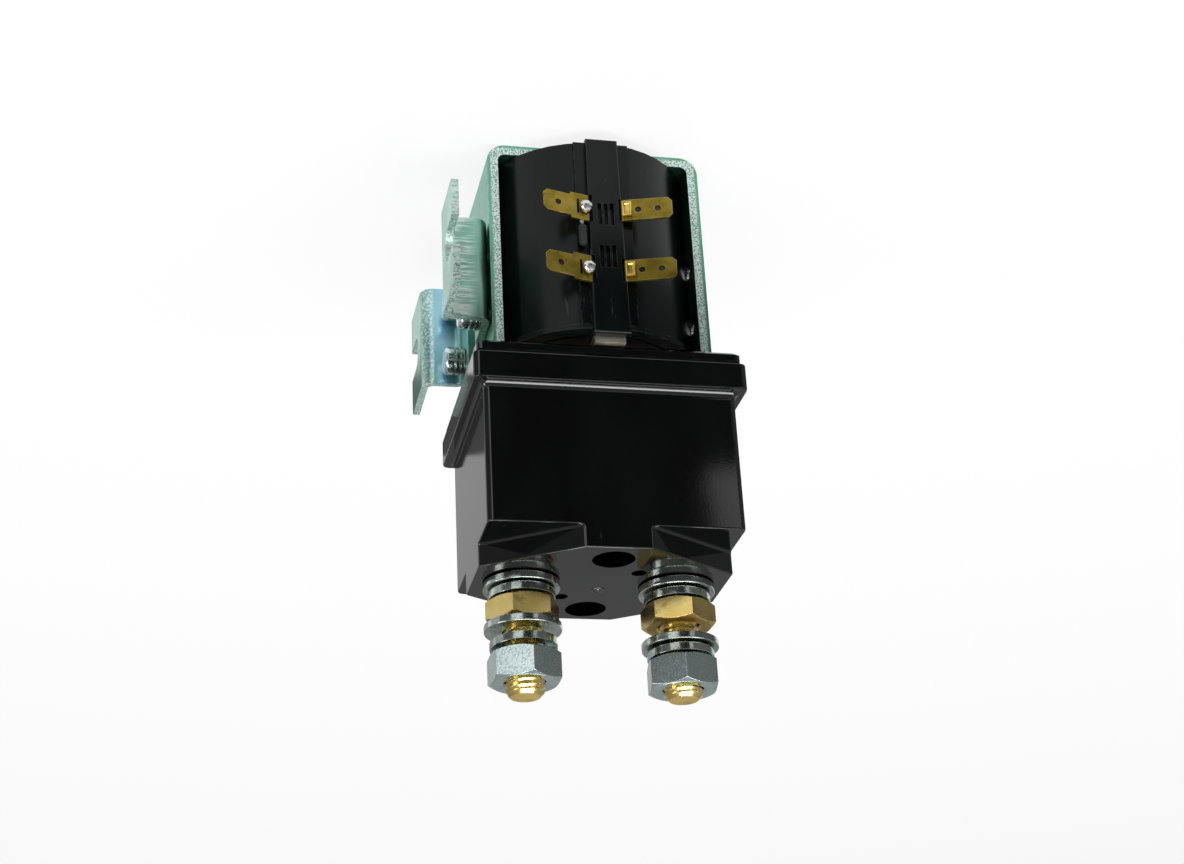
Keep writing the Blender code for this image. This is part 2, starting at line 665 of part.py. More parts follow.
def make_solder_and_sleeve():
    """Solder domes on the bracket side's blades, and the lead's sleeve along the shoulder."""
    tilt = math.radians(BLADE_TILT)
    radius = SOLDER_RADIUS
    skirt = radius * 0.12
    seat = BLADE_RISE + (SOLDER_X - BLADE_FOOT) * math.tan(tilt)
    lift = BLADE_THICKNESS / 2 + STACK_GAP + skirt
    centre = Vector((SOLDER_X - lift * math.sin(tilt), -seat - lift * math.cos(tilt), 0))
    for number, level in enumerate((LOW_BLADE_LEVEL, HIGH_BLADE_LEVEL)):
        profile = [(0, radius * 0.95)]
        for step in range(1, 6):
            angle = math.radians(90 - 18 * step)
            profile.append((radius * math.cos(angle), radius * 0.95 * math.sin(angle)))
        profile.append((radius * 0.8, -skirt))
        profile.append((0, -skirt))
        dome = turned(profile, 16, "Y")
        bmesh.ops.rotate(dome, verts=dome.verts, matrix=Matrix.Rotation(-tilt, 3, "Z"))
        bmesh.ops.translate(dome, verts=dome.verts, vec=centre + Vector((0, 0, level)))
        place(f"solder_joint_{number + 1}", dome, "solder")
    half = SLEEVE_LENGTH / 2
    profile = [(0, half)]
    profile += [(SLEEVE_RADIUS * 0.6, half), (SLEEVE_RADIUS, half - SLEEVE_RADIUS * 0.5),
                (SLEEVE_RADIUS, -half + SLEEVE_RADIUS * 0.5), (SLEEVE_RADIUS * 0.6, -half), (0, -half)]
    seat = (RIDGE_HIGH_HALF + SLEEVE_RADIUS + STACK_GAP, -SHOULDER_FRONT - SLEEVE_RADIUS - STACK_GAP,
            SLEEVE_LEVEL)
    place("lead_sleeve", turned(profile, 14, "Z", seat), "rubber")


def make_base_moulding():
    """The plate between coil and housing, with a register that enters the housing's mouth."""
    half_x = base_width / 2
    half_y = base_depth / 2
    rings = []
    for level, inset in ((base_floor, EDGE_ROUND), (base_floor + EDGE_ROUND, 0),
                         (base_top - EDGE_ROUND, 0), (base_top, EDGE_ROUND)):
        outline = rounded_rectangle(half_x - inset, half_y - inset, BODY_CORNER)
        rings.append([(x, y, level) for x, y in outline])
    base = place("base_moulding", skinned(rings), "black plastic")
    register = rounded_rectangle(chamber_half_x - SEAT_GAP, chamber_half_y - SEAT_GAP, BODY_CORNER)
    add(base, prism(register, base_top - BASE_PLATE / 2, base_top + BASE_REGISTER), "register")
    below = base_floor - BASE_PLATE
    above = base_top + 2 * BASE_REGISTER
    cut(base, disc(SPINDLE_HOLE, below, above), "spindle_hole")
    for sign in (-1, 1):
        where = (0, sign * well_y)
        room = WELL_RADIUS + COLUMN_WALL + SEAT_GAP
        side = "front" if sign < 0 else "rear"
        cut(base, disc(room, base_top, above, 28, "Z", where), f"column_room_{side}")
        cut(base, disc(thread_hole, below, above, 16, "Z", where), f"screw_hole_{side}")


def nose_wedge(sign_x, sign_y):
    """What is cut from one corner of the nose: outside a slanted plane, above a filleted ledge."""
    near = Vector((NOSE_FLAT / 2, BODY_DEPTH / 2))
    far = Vector((BODY_WIDTH / 2, NOSE_SIDE / 2))
    along = (far - near).normalized()
    out = Vector((along.y, -along.x)) * -1
    reach = BODY_WIDTH
    corner = arc((NOSE_FILLET, nose_floor + NOSE_FILLET), NOSE_FILLET, 180, 270, 5)
    section = corner + [(reach, nose_floor), (reach, housing_top * 1.2), (0, housing_top * 1.2)]
    rings = []
    for shift in (-reach, reach):
        ring = []
        for away, level in section:
            point = near + along * shift + out * away
            ring.append((sign_x * point.x, sign_y * point.y, level))
        rings.append(ring)
    return skinned(rings)


def make_housing():
    """The contact housing: flange, cove and body in one skin, a nose cut to a long octagon, a
    chamber open below, and two screw wells running down as columns."""
    levels = [(housing_floor, flange_width / 2, flange_depth / 2),
              (flange_top, flange_width / 2, flange_depth / 2)]
    for step in range(5):
        angle = math.radians(90 * step / 4)
        out = COVE_STEP * (1 - math.sin(angle))
        rise = COVE_HEIGHT * (1 - math.cos(angle))
        levels.append((flange_top + rise, BODY_WIDTH / 2 + out, BODY_DEPTH / 2 + out))
    levels.append((housing_top, BODY_WIDTH / 2, BODY_DEPTH / 2))
    rings = []
    for level, half_x, half_y in levels:
        outline = rounded_rectangle(half_x, half_y, BODY_CORNER)
        rings.append([(x, y, level) for x, y in outline])
    housing = place("housing", skinned(rings), "black plastic")
    for sign_x in (-1, 1):
        for sign_y in (-1, 1):
            label = f"nose_{'left' if sign_x < 0 else 'right'}_{'front' if sign_y < 0 else 'rear'}"
            cut(housing, nose_wedge(sign_x, sign_y), label)
    soften(housing, EDGE_ROUND, 2, NOSE_EDGE_ANGLE)
    below = housing_floor - HOUSING_WALL
    above = housing_top + NOSE_HEIGHT
    cut(housing, prism(rounded_rectangle(chamber_half_x, chamber_half_y, BODY_CORNER), below,
                       chamber_top), "chamber")
    for sign in (-1, 1):
        where = (0, sign * well_y)
        side = "front" if sign < 0 else "rear"
        column = WELL_RADIUS + COLUMN_WALL
        add(housing, disc(column, housing_floor + STACK_GAP, chamber_top + COLUMN_WALL, 28, "Z", where),
            f"column_{side}")
        cut(housing, disc(WELL_RADIUS, WELL_FLOOR, above, 32, "Z", where), f"well_{side}")
        cut(housing, disc(thread_hole, below, above, 16, "Z", where), f"screw_hole_{side}")
        pin = disc(PIN_HOLE_RADIUS, housing_top - PIN_HOLE_DEPTH, above, 16, "Z",
                   (sign * PIN_HOLE_X, sign * PIN_HOLE_Y))
        cut(housing, pin, f"pin_hole_{side}")
        stud_hole = disc(STUD_RADIUS + STUD_CLEARANCE, below, above, 28, "Z",
                         (sign * stud_x, 0))
        cut(housing, stud_hole, f"stud_hole_{'left' if sign < 0 else 'right'}")


def make_stud(side, x):
    chamfer = STUD_CHAMFER
    profile = [(0, stud_top), (STUD_RADIUS - chamfer, stud_top), (STUD_RADIUS, stud_top - chamfer),
               (STUD_RADIUS, stud_head_top - STUD_HEAD / 2), (0, stud_head_top - STUD_HEAD / 2)]
    stud = place(f"{side}_stud", turned(profile), "brass", (x, 0, 0))
    half = STUD_HEAD_WIDTH / 2
    head = rounded_rectangle(half, half, half * 0.3)
    add(stud, prism(head, stud_head_floor, stud_head_top), "head")
    profile = [(0, fixed_tip_floor + TIP_HEIGHT), (TIP_RADIUS, fixed_tip_floor + TIP_HEIGHT),
               (TIP_RADIUS, fixed_tip_floor + TIP_HEIGHT * 0.2),
               (TIP_RADIUS * 0.9, fixed_tip_floor), (0, fixed_tip_floor)]
    place(f"{side}_fixed_tip", turned(profile, 20), "silver", (x, 0, 0))


def make_stud_hardware(side, x, stack):
    """The rings and nuts on one stud, each on the one below it, with a lift where it hangs loose."""
    bore = STUD_RADIUS + STUD_CLEARANCE
    level = housing_top
    for kind, label, lift, turn in stack:
        level += SEAT_GAP + lift
        name = f"{side}_{label}"
        spot = (x, 0, level)
        turn = math.radians(turn)
        if kind == "washer":
            place(name, flat_washer(bore, WASHER_RADIUS, WASHER_THICKNESS), "bright zinc", spot, turn)
            level += WASHER_THICKNESS
        if kind in ("lock", "open lock"):
            rise = LOCK_RISE if kind == "lock" else OPEN_LOCK_RISE
            place(name, split_ring(bore, LOCK_RADIUS, LOCK_THICKNESS, rise), "bright zinc", spot, turn)
            level += LOCK_THICKNESS + rise
        if kind == "brass nut":
            nut(name, BRASS_NUT, "brass", spot, turn)
            level += BRASS_NUT
        if kind == "steel nut":
            nut(name, STEEL_NUT, "bright zinc", spot, turn)
            level += STEEL_NUT


def make_bracket(name, sign):
    """A plate folded twice: on the yoke's side, out along the web, and away into the slotted foot."""
    seat = YOKE_WIDTH / 2 + SEAT_GAP + BRACKET_PLATE / 2
    web = sign * (bracket_web - BRACKET_PLATE / 2)
    face = BRACKET_FACE - BRACKET_PLATE / 2
    path = [(seat, sign * BRACKET_INNER_EDGE), (seat, web), (face, web), (face, sign * bracket_reach)]
    outline = strip_outline(path, BRACKET_BEND, BRACKET_PLATE, 6)
    bracket = place(name, prism(outline, bracket_low, bracket_top), "zinc plate")
    middle = (bracket_low + bracket_top) / 2
    half = BRACKET_SLOT_WIDTH / 2
    root = bracket_reach - BRACKET_SLOT_DEPTH + half
    slot = arc((root, middle), half, 90, 270, 12)
    slot += [(bracket_reach * 1.1, middle - half), (bracket_reach * 1.1, middle + half)]
    slot = [(sign * y, z) for y, z in slot]
    cut(bracket, prism(slot, face - BRACKET_PLATE, face + BRACKET_PLATE, "X"), "slot")
    for row, level in enumerate((yoke_low_hole, yoke_high_hole)):
        hole = disc(thread_hole, seat - BRACKET_PLATE, seat + BRACKET_PLATE, 24, "X",
                    (sign * yoke_hole_y, level))
        cut(bracket, hole, f"hole_{row}")


def make_bracket_screw(index, y, z):
    """A slotted screw with a lock washer and a flat washer, its end flush inside the yoke plate."""
    washer = YOKE_WIDTH / 2 + SEAT_GAP + BRACKET_PLATE + STACK_GAP
    lock = washer + BRACKET_WASHER + STACK_GAP
    head = lock + BRACKET_LOCK + BRACKET_LOCK_RISE + STACK_GAP
    end = head + BRACKET_HEAD
    tip = yoke_inner + STACK_GAP
    shank = SCREW_SIZE / 2
    bore = shank + THREAD_GAP
    round_edge = BRACKET_HEAD * 0.25
    profile = [(0, end), (BRACKET_HEAD_RADIUS - round_edge, end), (BRACKET_HEAD_RADIUS, end - round_edge),
               (BRACKET_HEAD_RADIUS, head), (shank, head), (shank, tip), (0, tip)]
    spot = (0, y, z)
    screw = place(f"bracket_screw_{index}", turned(profile, 20, "X"), "bright zinc", spot)
    slot = block(DRIVER_SLOT / 2, BRACKET_HEAD_RADIUS * 1.2, end - BRACKET_HEAD * 0.45,
                 end + BRACKET_HEAD, "X")
    cut(screw, slot, "driver_slot")
    ring = split_ring(bore, BRACKET_LOCK_RADIUS, BRACKET_LOCK, BRACKET_LOCK_RISE, "X", 18)
    place(f"bracket_lock_washer_{index}", ring, "bright zinc", (lock, y, z))
    plain = flat_washer(bore, BRACKET_WASHER_RADIUS, BRACKET_WASHER, "X", 20)
    place(f"bracket_washer_{index}", plain, "bright zinc", (washer, y, z))


def make_housing_screw(side, y):
    """A socket screw down a well, through the base moulding and into the pole plate."""
    head = WELL_FLOOR + STACK_GAP
    end = head + HOUSING_HEAD
    shank = SCREW_SIZE / 2
    profile = [(0, end), (HOUSING_HEAD_RADIUS, end), (HOUSING_HEAD_RADIUS, head), (shank, head),
               (shank, pole_plate_floor), (0, pole_plate_floor)]
    screw = place(f"{side}_housing_screw", turned(profile, 20), "steel", (0, y, 0))
    socket = prism(hexagon(HOUSING_SOCKET), end - HOUSING_SOCKET_DEPTH, end + HOUSING_HEAD)
    cut(screw, socket, "socket")


def make_armature(axis, pocket_roof):
    """Plunger and spindle, with the ring, seat and springs that the spindle carries."""
    bore = SPINDLE_RADIUS + THREAD_GAP
    hole_floor = plunger_floor + SPINDLE_FOOT - SEAT_GAP
    pocket_floor = plunger_top - PLUNGER_POCKET
    profile = [(0, hole_floor), (bore, hole_floor), (bore, pocket_floor), (POCKET_RADIUS, pocket_floor),
               (POCKET_RADIUS, plunger_top), (PLUNGER_RADIUS, plunger_top),
               (PLUNGER_RADIUS, plunger_floor), (0, plunger_floor)]
    place("plunger", turned(profile), "steel", parent=axis)
    groove = SPINDLE_NECK - CLIP_GROOVE
    groove_top = clip_floor + CLIP_HEIGHT + STACK_GAP / 2
    groove_floor = clip_floor - STACK_GAP / 2
    foot = plunger_floor + SPINDLE_FOOT
    profile = [(0, spindle_top), (SPINDLE_NECK, spindle_top), (SPINDLE_NECK, groove_top),
               (groove, groove_top), (groove, groove_floor), (SPINDLE_NECK, groove_floor),
               (SPINDLE_NECK, spindle_shoulder), (SPINDLE_RADIUS, spindle_shoulder),
               (SPINDLE_RADIUS, foot), (0, foot)]
    place("spindle", turned(profile, 20), "steel", parent=axis)
    inner = groove + STACK_GAP / 2
    clip = turned([(inner, 0), (CLIP_RADIUS, 0), (CLIP_RADIUS, CLIP_HEIGHT), (inner, CLIP_HEIGHT)], 24)
    clip_ring = place("spindle_circlip", clip, "steel", (0, 0, clip_floor), parent=axis)
    mouth = block(CLIP_RADIUS, CLIP_MOUTH / 2, -CLIP_HEIGHT, 2 * CLIP_HEIGHT, "Z", (CLIP_RADIUS, 0))
    cut(clip_ring, mouth, "mouth")
    seat_bore = SPINDLE_NECK + THREAD_GAP
    rim = CONTACT_SPRING_RADIUS + CONTACT_SPRING_WIRE / 2 + SEAT_GAP
    profile = [(seat_bore, seat_floor), (SEAT_RADIUS, seat_floor),
               (SEAT_RADIUS, seat_top + CONTACT_SPRING_WIRE * 0.6),
               (rim, seat_top + CONTACT_SPRING_WIRE * 0.6), (rim, seat_top), (seat_bore, seat_top)]
    place("spring_seat", turned(profile, 24), "white plastic", parent=axis)
    spring = helix(CONTACT_SPRING_RADIUS, CONTACT_SPRING_WIRE, contact_spring_floor,
                   contact_spring_floor + CONTACT_SPRING_LENGTH, CONTACT_SPRING_TURNS)
    place("contact_spring", spring, "steel", parent=axis)
    spring = helix(RETURN_SPRING_RADIUS, RETURN_SPRING_WIRE, pocket_floor + SEAT_GAP,
                   pocket_roof - SEAT_GAP, RETURN_SPRING_TURNS)
    place("return_spring", spring, "steel")


def make_bridge(axis):
    """The moving contact bar on its insulating bush, with a silver tip under each stud."""
    bar = prism(rounded_rectangle(bar_half, BAR_WIDTH / 2, BAR_WIDTH * 0.3), bar_floor, bar_top)
    bridge = place("contact_bridge", bar, "copper", parent=axis)
    cut(bridge, disc(BUSH_RADIUS + STACK_GAP, bar_floor - BAR_THICKNESS, bar_top + BAR_THICKNESS),
        "bush_hole")
    bore = SPINDLE_NECK + SEAT_GAP
    collar_top = bush_floor + BUSH_FLANGE
    profile = [(bore, bush_top), (BUSH_RADIUS, bush_top), (BUSH_RADIUS, collar_top),
               (BUSH_FLANGE_RADIUS, collar_top), (BUSH_FLANGE_RADIUS, bush_floor), (bore, bush_floor)]
    place("bridge_bush", turned(profile, 24), "white plastic", parent=axis)
    low = bar_top + STACK_GAP
    profile = [(0, moving_tip_top), (TIP_RADIUS * 0.9, moving_tip_top),
               (TIP_RADIUS, moving_tip_top - TIP_HEIGHT * 0.2), (TIP_RADIUS, low), (0, low)]
    for side, x in (("left", -stud_x), ("right", stud_x)):
        place(f"{side}_moving_tip", turned(profile, 20), "silver", (x, 0, 0), parent=axis)


def make_axis(name, level):
    axis = bpy.data.objects.new(name, None)
    axis.location = (0, 0, level)
    bpy.context.collection.objects.link(axis)
    return axis


def make_end_stop():
    profile = [(0, coil_floor + BUFFER_HEIGHT), (BUFFER_RADIUS - EDGE_ROUND, coil_floor + BUFFER_HEIGHT),
               (BUFFER_RADIUS, coil_floor + BUFFER_HEIGHT - EDGE_ROUND), (BUFFER_RADIUS, coil_floor),
               (0, coil_floor)]
    place("end_stop", turned(profile, 24), "rubber")


def main():
    remove_all()
    make_yoke()
    make_pole_plate()
    pocket_roof = make_fixed_pole()
    make_end_stop()
    make_coil()
    make_jacket()
    make_terminals()
    make_solder_and_sleeve()
    make_base_moulding()
    make_housing()
    right_stack = (("washer", "lower_washer", 0, 0), ("lock", "lower_lock_washer", 0, 150),
                   ("brass nut", "brass_nut", 0, -6), ("washer", "upper_washer", 0, 0),
                   ("open lock", "upper_lock_washer", LOOSE_LOCK_LIFT, 200),
                   ("steel nut", "steel_nut", 0, 26))
    left_stack = (("washer", "lower_washer", 0, 0), ("lock", "lower_lock_washer", 0, 60),
                  ("brass nut", "brass_nut", 0, 22), ("washer", "upper_washer", LOOSE_WASHER_LIFT, 0),
                  ("lock", "upper_lock_washer", 0, 30), ("steel nut", "steel_nut", 0, 38))
    for side, x, stack in (("right", stud_x, right_stack),
                           ("left", -stud_x, left_stack)):
        make_stud(side, x)
        make_stud_hardware(side, x, stack)
    index = 0
    for name, sign in (("front_bracket", -1), ("rear_bracket", 1)):
        make_bracket(name, sign)
        for level in (yoke_low_hole, yoke_high_hole):
            index += 1
            make_bracket_screw(index, sign * yoke_hole_y, level)
    for side, sign in (("front", -1), ("rear", 1)):
        make_housing_screw(side, sign * well_y)
    armature_axis = make_axis("armature_axis", 0)
    bridge_axis = make_axis("bridge_axis", 0)
    bridge_axis.parent = armature_axis
    make_armature(armature_axis, pocket_roof)
    make_bridge(bridge_axis)


main()
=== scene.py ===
# Contactor: materials, threads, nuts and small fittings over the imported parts.
# The camera hangs head down, so the studs point to the bottom of the picture.

import json
import math

import bpy
from mathutils import Matrix, Vector

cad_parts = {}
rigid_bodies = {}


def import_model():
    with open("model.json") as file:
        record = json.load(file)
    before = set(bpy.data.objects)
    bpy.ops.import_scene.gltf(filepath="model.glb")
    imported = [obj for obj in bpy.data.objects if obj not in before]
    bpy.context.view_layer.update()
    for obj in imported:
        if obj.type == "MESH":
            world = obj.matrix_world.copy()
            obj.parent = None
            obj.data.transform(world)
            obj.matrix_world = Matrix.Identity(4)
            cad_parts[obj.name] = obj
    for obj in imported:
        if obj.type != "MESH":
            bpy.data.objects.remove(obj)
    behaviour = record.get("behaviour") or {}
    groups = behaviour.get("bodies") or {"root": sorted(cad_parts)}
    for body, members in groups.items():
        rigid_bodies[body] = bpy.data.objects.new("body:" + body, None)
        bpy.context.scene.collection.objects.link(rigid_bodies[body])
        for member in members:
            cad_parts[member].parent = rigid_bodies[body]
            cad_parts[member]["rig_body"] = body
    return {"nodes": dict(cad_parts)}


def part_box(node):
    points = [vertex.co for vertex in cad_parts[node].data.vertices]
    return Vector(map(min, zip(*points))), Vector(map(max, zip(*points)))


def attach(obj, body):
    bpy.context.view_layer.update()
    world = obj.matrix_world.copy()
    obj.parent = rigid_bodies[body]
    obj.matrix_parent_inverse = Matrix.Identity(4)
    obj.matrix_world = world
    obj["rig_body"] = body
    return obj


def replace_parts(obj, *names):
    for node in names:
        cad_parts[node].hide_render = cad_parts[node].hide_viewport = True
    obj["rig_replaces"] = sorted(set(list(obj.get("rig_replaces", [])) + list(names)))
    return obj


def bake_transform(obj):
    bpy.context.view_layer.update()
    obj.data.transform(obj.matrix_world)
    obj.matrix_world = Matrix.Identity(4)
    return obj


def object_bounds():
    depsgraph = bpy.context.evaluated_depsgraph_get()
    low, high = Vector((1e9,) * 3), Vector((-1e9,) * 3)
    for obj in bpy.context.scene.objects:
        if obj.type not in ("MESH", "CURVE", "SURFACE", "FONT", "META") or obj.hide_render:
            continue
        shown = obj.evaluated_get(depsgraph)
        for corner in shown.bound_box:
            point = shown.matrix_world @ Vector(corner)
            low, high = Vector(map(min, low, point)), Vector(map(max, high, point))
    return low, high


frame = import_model()
cadLow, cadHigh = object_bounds()
parts = frame["nodes"]
print("parts loaded:", len(parts))


class Signal:  # one value that runs between nodes
    def __init__(self, wiring, socket):
        self.wiring = wiring
        self.socket = socket

    def maths(self, operation, *others):
        values = dict(enumerate((self, *others)))
        return self.wiring.node("Math", {"operation": operation}, values)

    def __add__(self, other):
        return self.maths("ADD", other)

    __radd__ = __add__

    def __mul__(self, other):
        return self.maths("MULTIPLY", other)

    __rmul__ = __mul__

    def __sub__(self, other):
        return self.maths("SUBTRACT", other)

    def __rsub__(self, other):
        return self.wiring.node("Math", {"operation": "SUBTRACT"}, {0: other, 1: self})

    def size(self):
        return self.maths("ABSOLUTE")

    def kept(self, low, high):  # held between two values
        return self.maths("MAXIMUM", low).maths("MINIMUM", high)

    def step(self, start, end):  # 0 below start, 1 above end, soft between
        return self.wiring.node("MapRange", {"interpolation_type": "SMOOTHSTEP", "clamp": True},
                                {"Value": self, "From Min": start, "From Max": end})


class Wiring:  # the nodes of a material or of the world
    def __init__(self, tree):
        self.tree = tree

    def node(self, kind, settings, values, output=0):
        made = self.tree.nodes.new("ShaderNode" + kind)
        for key, value in settings.items():
            setattr(made, key, value)
        for key, value in values.items():
            self.join(value, made.inputs[key])
        return Signal(self, made.outputs[output])

    def join(self, value, socket):
        if isinstance(value, Signal):
            self.tree.links.new(value.socket, socket)
        elif socket.type == "RGBA":
            socket.default_value = (*value, 1.0)
        else:
            socket.default_value = value


class Finish(Wiring):
    noiseRoughness = 0.55
    cornerGain = 3.0
    cornerSamples = 4

    def __init__(self, name, metallic=0.0):
        self.material = bpy.data.materials.new(name)
        self.material.use_nodes = True
        super().__init__(self.material.node_tree)
        self.shader = self.tree.nodes["Principled BSDF"]
        self.fixed({"Metallic": metallic})
        self.known = {}

    def fixed(self, values):
        for key, value in values.items():
            self.join(value, self.shader.inputs[key])

    def coords(self, output):
        if output not in self.known:
            self.known[output] = self.node("TexCoord", {}, {}, output)
        return self.known[output]

    def noise(self, scale, detail, stretch=None):
        spot = self.coords("Object")
        if stretch:
            spot = self.node("Mapping", {}, {"Vector": spot, "Scale": stretch})
        return self.node("TexNoise", {}, {"Vector": spot, "Scale": scale, "Detail": detail,
                                          "Roughness": self.noiseRoughness})

    def mix(self, share, first, second):
        return self.node("Mix", {"data_type": "RGBA", "clamp_factor": True},
                         {0: share, 6: first, 7: second}, 2)

    def corners(self, radius):  # 1 on sharp corners, 0 on open faces
        eased = self.node("Bevel", {"samples": self.cornerSamples}, {"Radius": radius})
        straight = self.node("NewGeometry", {}, {}, "Normal")
        alike = self.node("VectorMath", {"operation": "DOT_PRODUCT"}, {0: eased, 1: straight},
                          "Value")
        return ((1 - alike) * self.cornerGain).kept(0, 1)

    def worn(self, look):  # rubbed places along the corners
        return self.corners(look["corner"]) * self.noise(*look["patch"]).step(*look["patched"])

    def towards(self, axis):  # how squarely a face looks along an axis, both ways
        return self.node("SeparateXYZ", {}, {0: self.coords("Normal")}, axis).size()

    def at(self, axis):
        return self.node("SeparateXYZ", {}, {0: self.coords("Object")}, axis)

    def finished(self, colour, roughness, height, bump):
        strength, distance = bump
        raised = self.node("Bump", {}, {"Strength": strength, "Distance": distance,
                                        "Height": height})
        self.fixed({"Base Color": colour, "Roughness": roughness, "Normal": raised})
        return self.material


# Finishes. A pattern is its noise scale, detail and stretch; a pair in the past tense is where the
# pattern starts and ends; tint, rough and relief say how much each layer gives.

housingLook = dict(dark=(0.0004, 0.0006, 0.0005), light=(0.0016, 0.0022, 0.0020),
                   worn=(0.05, 0.055, 0.05), roughness=0.05, gloss=0.85)
jacketLook = dict(dark=(0.0008, 0.0020, 0.0020), light=(0.003, 0.006, 0.0055),
                  worn=(0.05, 0.06, 0.055), roughness=0.22, gloss=0.22)
mouldedGrain = dict(flow=(55, 2.0, (1, 1, 0.35)), flowed=(0.35, 0.7), grain=(2400, 2.0),
                    scuff=(700, 5.0, (1, 0.3, 0.12)), scuffed=(0.70, 0.76),
                    corner=0.0005, patch=(380, 4.0), patched=(0.42, 0.62),
                    tint=dict(wear=0.8, scuff=0.5), rough=dict(flow=0.05, scuff=0.2, wear=0.2),
                    relief=dict(grain=0.5, flow=2.0), bump=(0.12, 0.0001))


def mouldedPlastic(name, look):
    finish, own = Finish(name), mouldedGrain
    tint, rough, relief = own["tint"], own["rough"], own["relief"]
    flow = finish.noise(*own["flow"])
    grain = finish.noise(*own["grain"])
    scuff = finish.noise(*own["scuff"]).step(*own["scuffed"])
    wear = finish.worn(own)
    marks = (wear * tint["wear"] + scuff * tint["scuff"]).kept(0, 1)
    colour = finish.mix(flow.step(*own["flowed"]), look["dark"], look["light"])
    colour = finish.mix(marks, colour, look["worn"])
    roughness = (look["roughness"] + flow * rough["flow"] + scuff * rough["scuff"]
                 + wear * rough["wear"])
    height = grain * relief["grain"] + flow * relief["flow"]
    finish.fixed({"Specular IOR Level": look["gloss"]})
    return finish.finished(colour, roughness, height, own["bump"])


rubberLook = dict(dark=(0.012, 0.013, 0.014), light=(0.035, 0.036, 0.036), grain=(1500, 3.0),
                  mottle=(260, 3.0), roughness=0.55, rough=dict(grain=0.2), gloss=0.3,
                  bump=(0.3, 0.0001))


def blackRubber(name, look):
    finish = Finish(name)
    grain = finish.noise(*look["grain"])
    colour = finish.mix(finish.noise(*look["mottle"]), look["dark"], look["light"])
    roughness = look["roughness"] + grain * look["rough"]["grain"]
    finish.fixed({"Specular IOR Level": look["gloss"]})
    return finish.finished(colour, roughness, grain, look["bump"])


naturalLook = dict(dark=(0.66, 0.62, 0.50), light=(0.76, 0.73, 0.63), cloud=(120, 3.0),
                   grain=(1800, 2.0), roughness=0.36, rough=dict(cloud=0.1), bump=(0.15, 0.0001))


def naturalPlastic(name, look):
    finish = Finish(name)
    cloud = finish.noise(*look["cloud"])
    colour = finish.mix(cloud, look["dark"], look["light"])
    roughness = look["roughness"] + cloud * look["rough"]["cloud"]
    return finish.finished(colour, roughness, finish.noise(*look["grain"]), look["bump"])


yokeLook = dict(pale=(0.17, 0.45, 0.30), deep=(0.10, 0.32, 0.20), blue=(0.16, 0.42, 0.42),
                light=(0.82, 0.94, 0.90), dark=(0.20, 0.36, 0.30), roughness=0.28,
                cloud=(70, 3.0), clouded=(0.3, 0.7), frost=(1300, 3.0),
                rolled=(2600, 3.0, (0.05, 0.05, 1)), stain=(28, 1.0), stained=(0.4, 0.65),
                tear=(2400, 3.0), torn=(0.40, 0.56), halfWidth=0.0294, rim=(0.0006, 0.0012),
                cutFaced=(0.6, 0.9), corner=0.0006, patch=(700, 4.0), patched=(0.38, 0.6),
                tint=dict(blue=0.3, torn=0.9, wear=0.8), rough=dict(frost=0.16, torn=0.16),
                relief=dict(frost=0.5, rolled=0.6, torn=3.0), bump=(0.35, 0.0001))


def zincYoke(name, look):
    finish = Finish(name, 1.0)
    tint, rough, relief = look["tint"], look["rough"], look["relief"]
    cloud = finish.noise(*look["cloud"])
    frost = finish.noise(*look["frost"])
    rolled = finish.noise(*look["rolled"])
    stain = finish.noise(*look["stain"]).step(*look["stained"])
    tear = finish.noise(*look["tear"])
    cutFace = finish.towards("Y").step(*look["cutFaced"])
    depth = (look["halfWidth"] - finish.at("X").size()).maths("MINIMUM", finish.at("Z"))
    torn = depth.step(*look["rim"]) * cutFace
    wear = finish.worn(look)
    colour = finish.mix(cloud.step(*look["clouded"]), look["deep"], look["pale"])
    colour = finish.mix(stain * tint["blue"], colour, look["blue"])
    cut = finish.mix(tear.step(*look["torn"]), look["dark"], look["light"])
    colour = finish.mix(torn * tint["torn"], colour, cut)
    colour = finish.mix(wear * tint["wear"], colour, look["light"])
    roughness = look["roughness"] + frost * rough["frost"] + torn * rough["torn"]
    height = frost * relief["frost"] + rolled * relief["rolled"] + tear * torn * relief["torn"]
    return finish.finished(colour, roughness, height, look["bump"])


# Brackets: blue is a painted blue highlight on the rear web; dark is painted shade, by the yoke and
# in the dark streaks; light is the painted highlight streaks and also the colour of the cut edges,
# speckle and wear.
bracketLook = dict(pale=(0.36, 0.62, 0.52), deep=(0.20, 0.43, 0.34), blue=(0.42, 0.72, 0.95),
                   light=(0.84, 0.94, 0.92), dark=(0.05, 0.12, 0.10), roughness=0.24,
                   cloud=(70, 3.0), clouded=(0.3, 0.7), frost=(1300, 3.0),
                   line=(2100, 3.0, (0.08, 0.08, 1)), lined=(0.42, 0.60), scored=(0.60, 0.70),
                   tear=(2100, 3.0), torn=(0.40, 0.62), speckle=(1500, 3.0), speckled=(0.48, 0.56),
                   blush=(90, 2.0), blushed=(0.3, 0.55), blushMiddle=0.0362, blushFade=170,
                   corner=0.0006, patch=(700, 4.0), patched=(0.38, 0.6),
                   cutFaced=(0.6, 0.9), plateFaced=(0.85, 0.98), frontEnded=(-0.004, 0.004),
                   outerBent=(0.0385, 0.0400), banded=(0.0325, 0.0365), seamed=(0.0310, 0.0335),
                   tint=dict(seam=0.6, torn=0.85, scored=0.5, speckle=0.7, cut=0.7, wear=0.8),
                   rough=dict(frost=0.16, cut=0.12, band=0.12),
                   relief=dict(frost=0.5, line=0.3, band=2.0, cut=1.5), bump=(0.4, 0.0001))


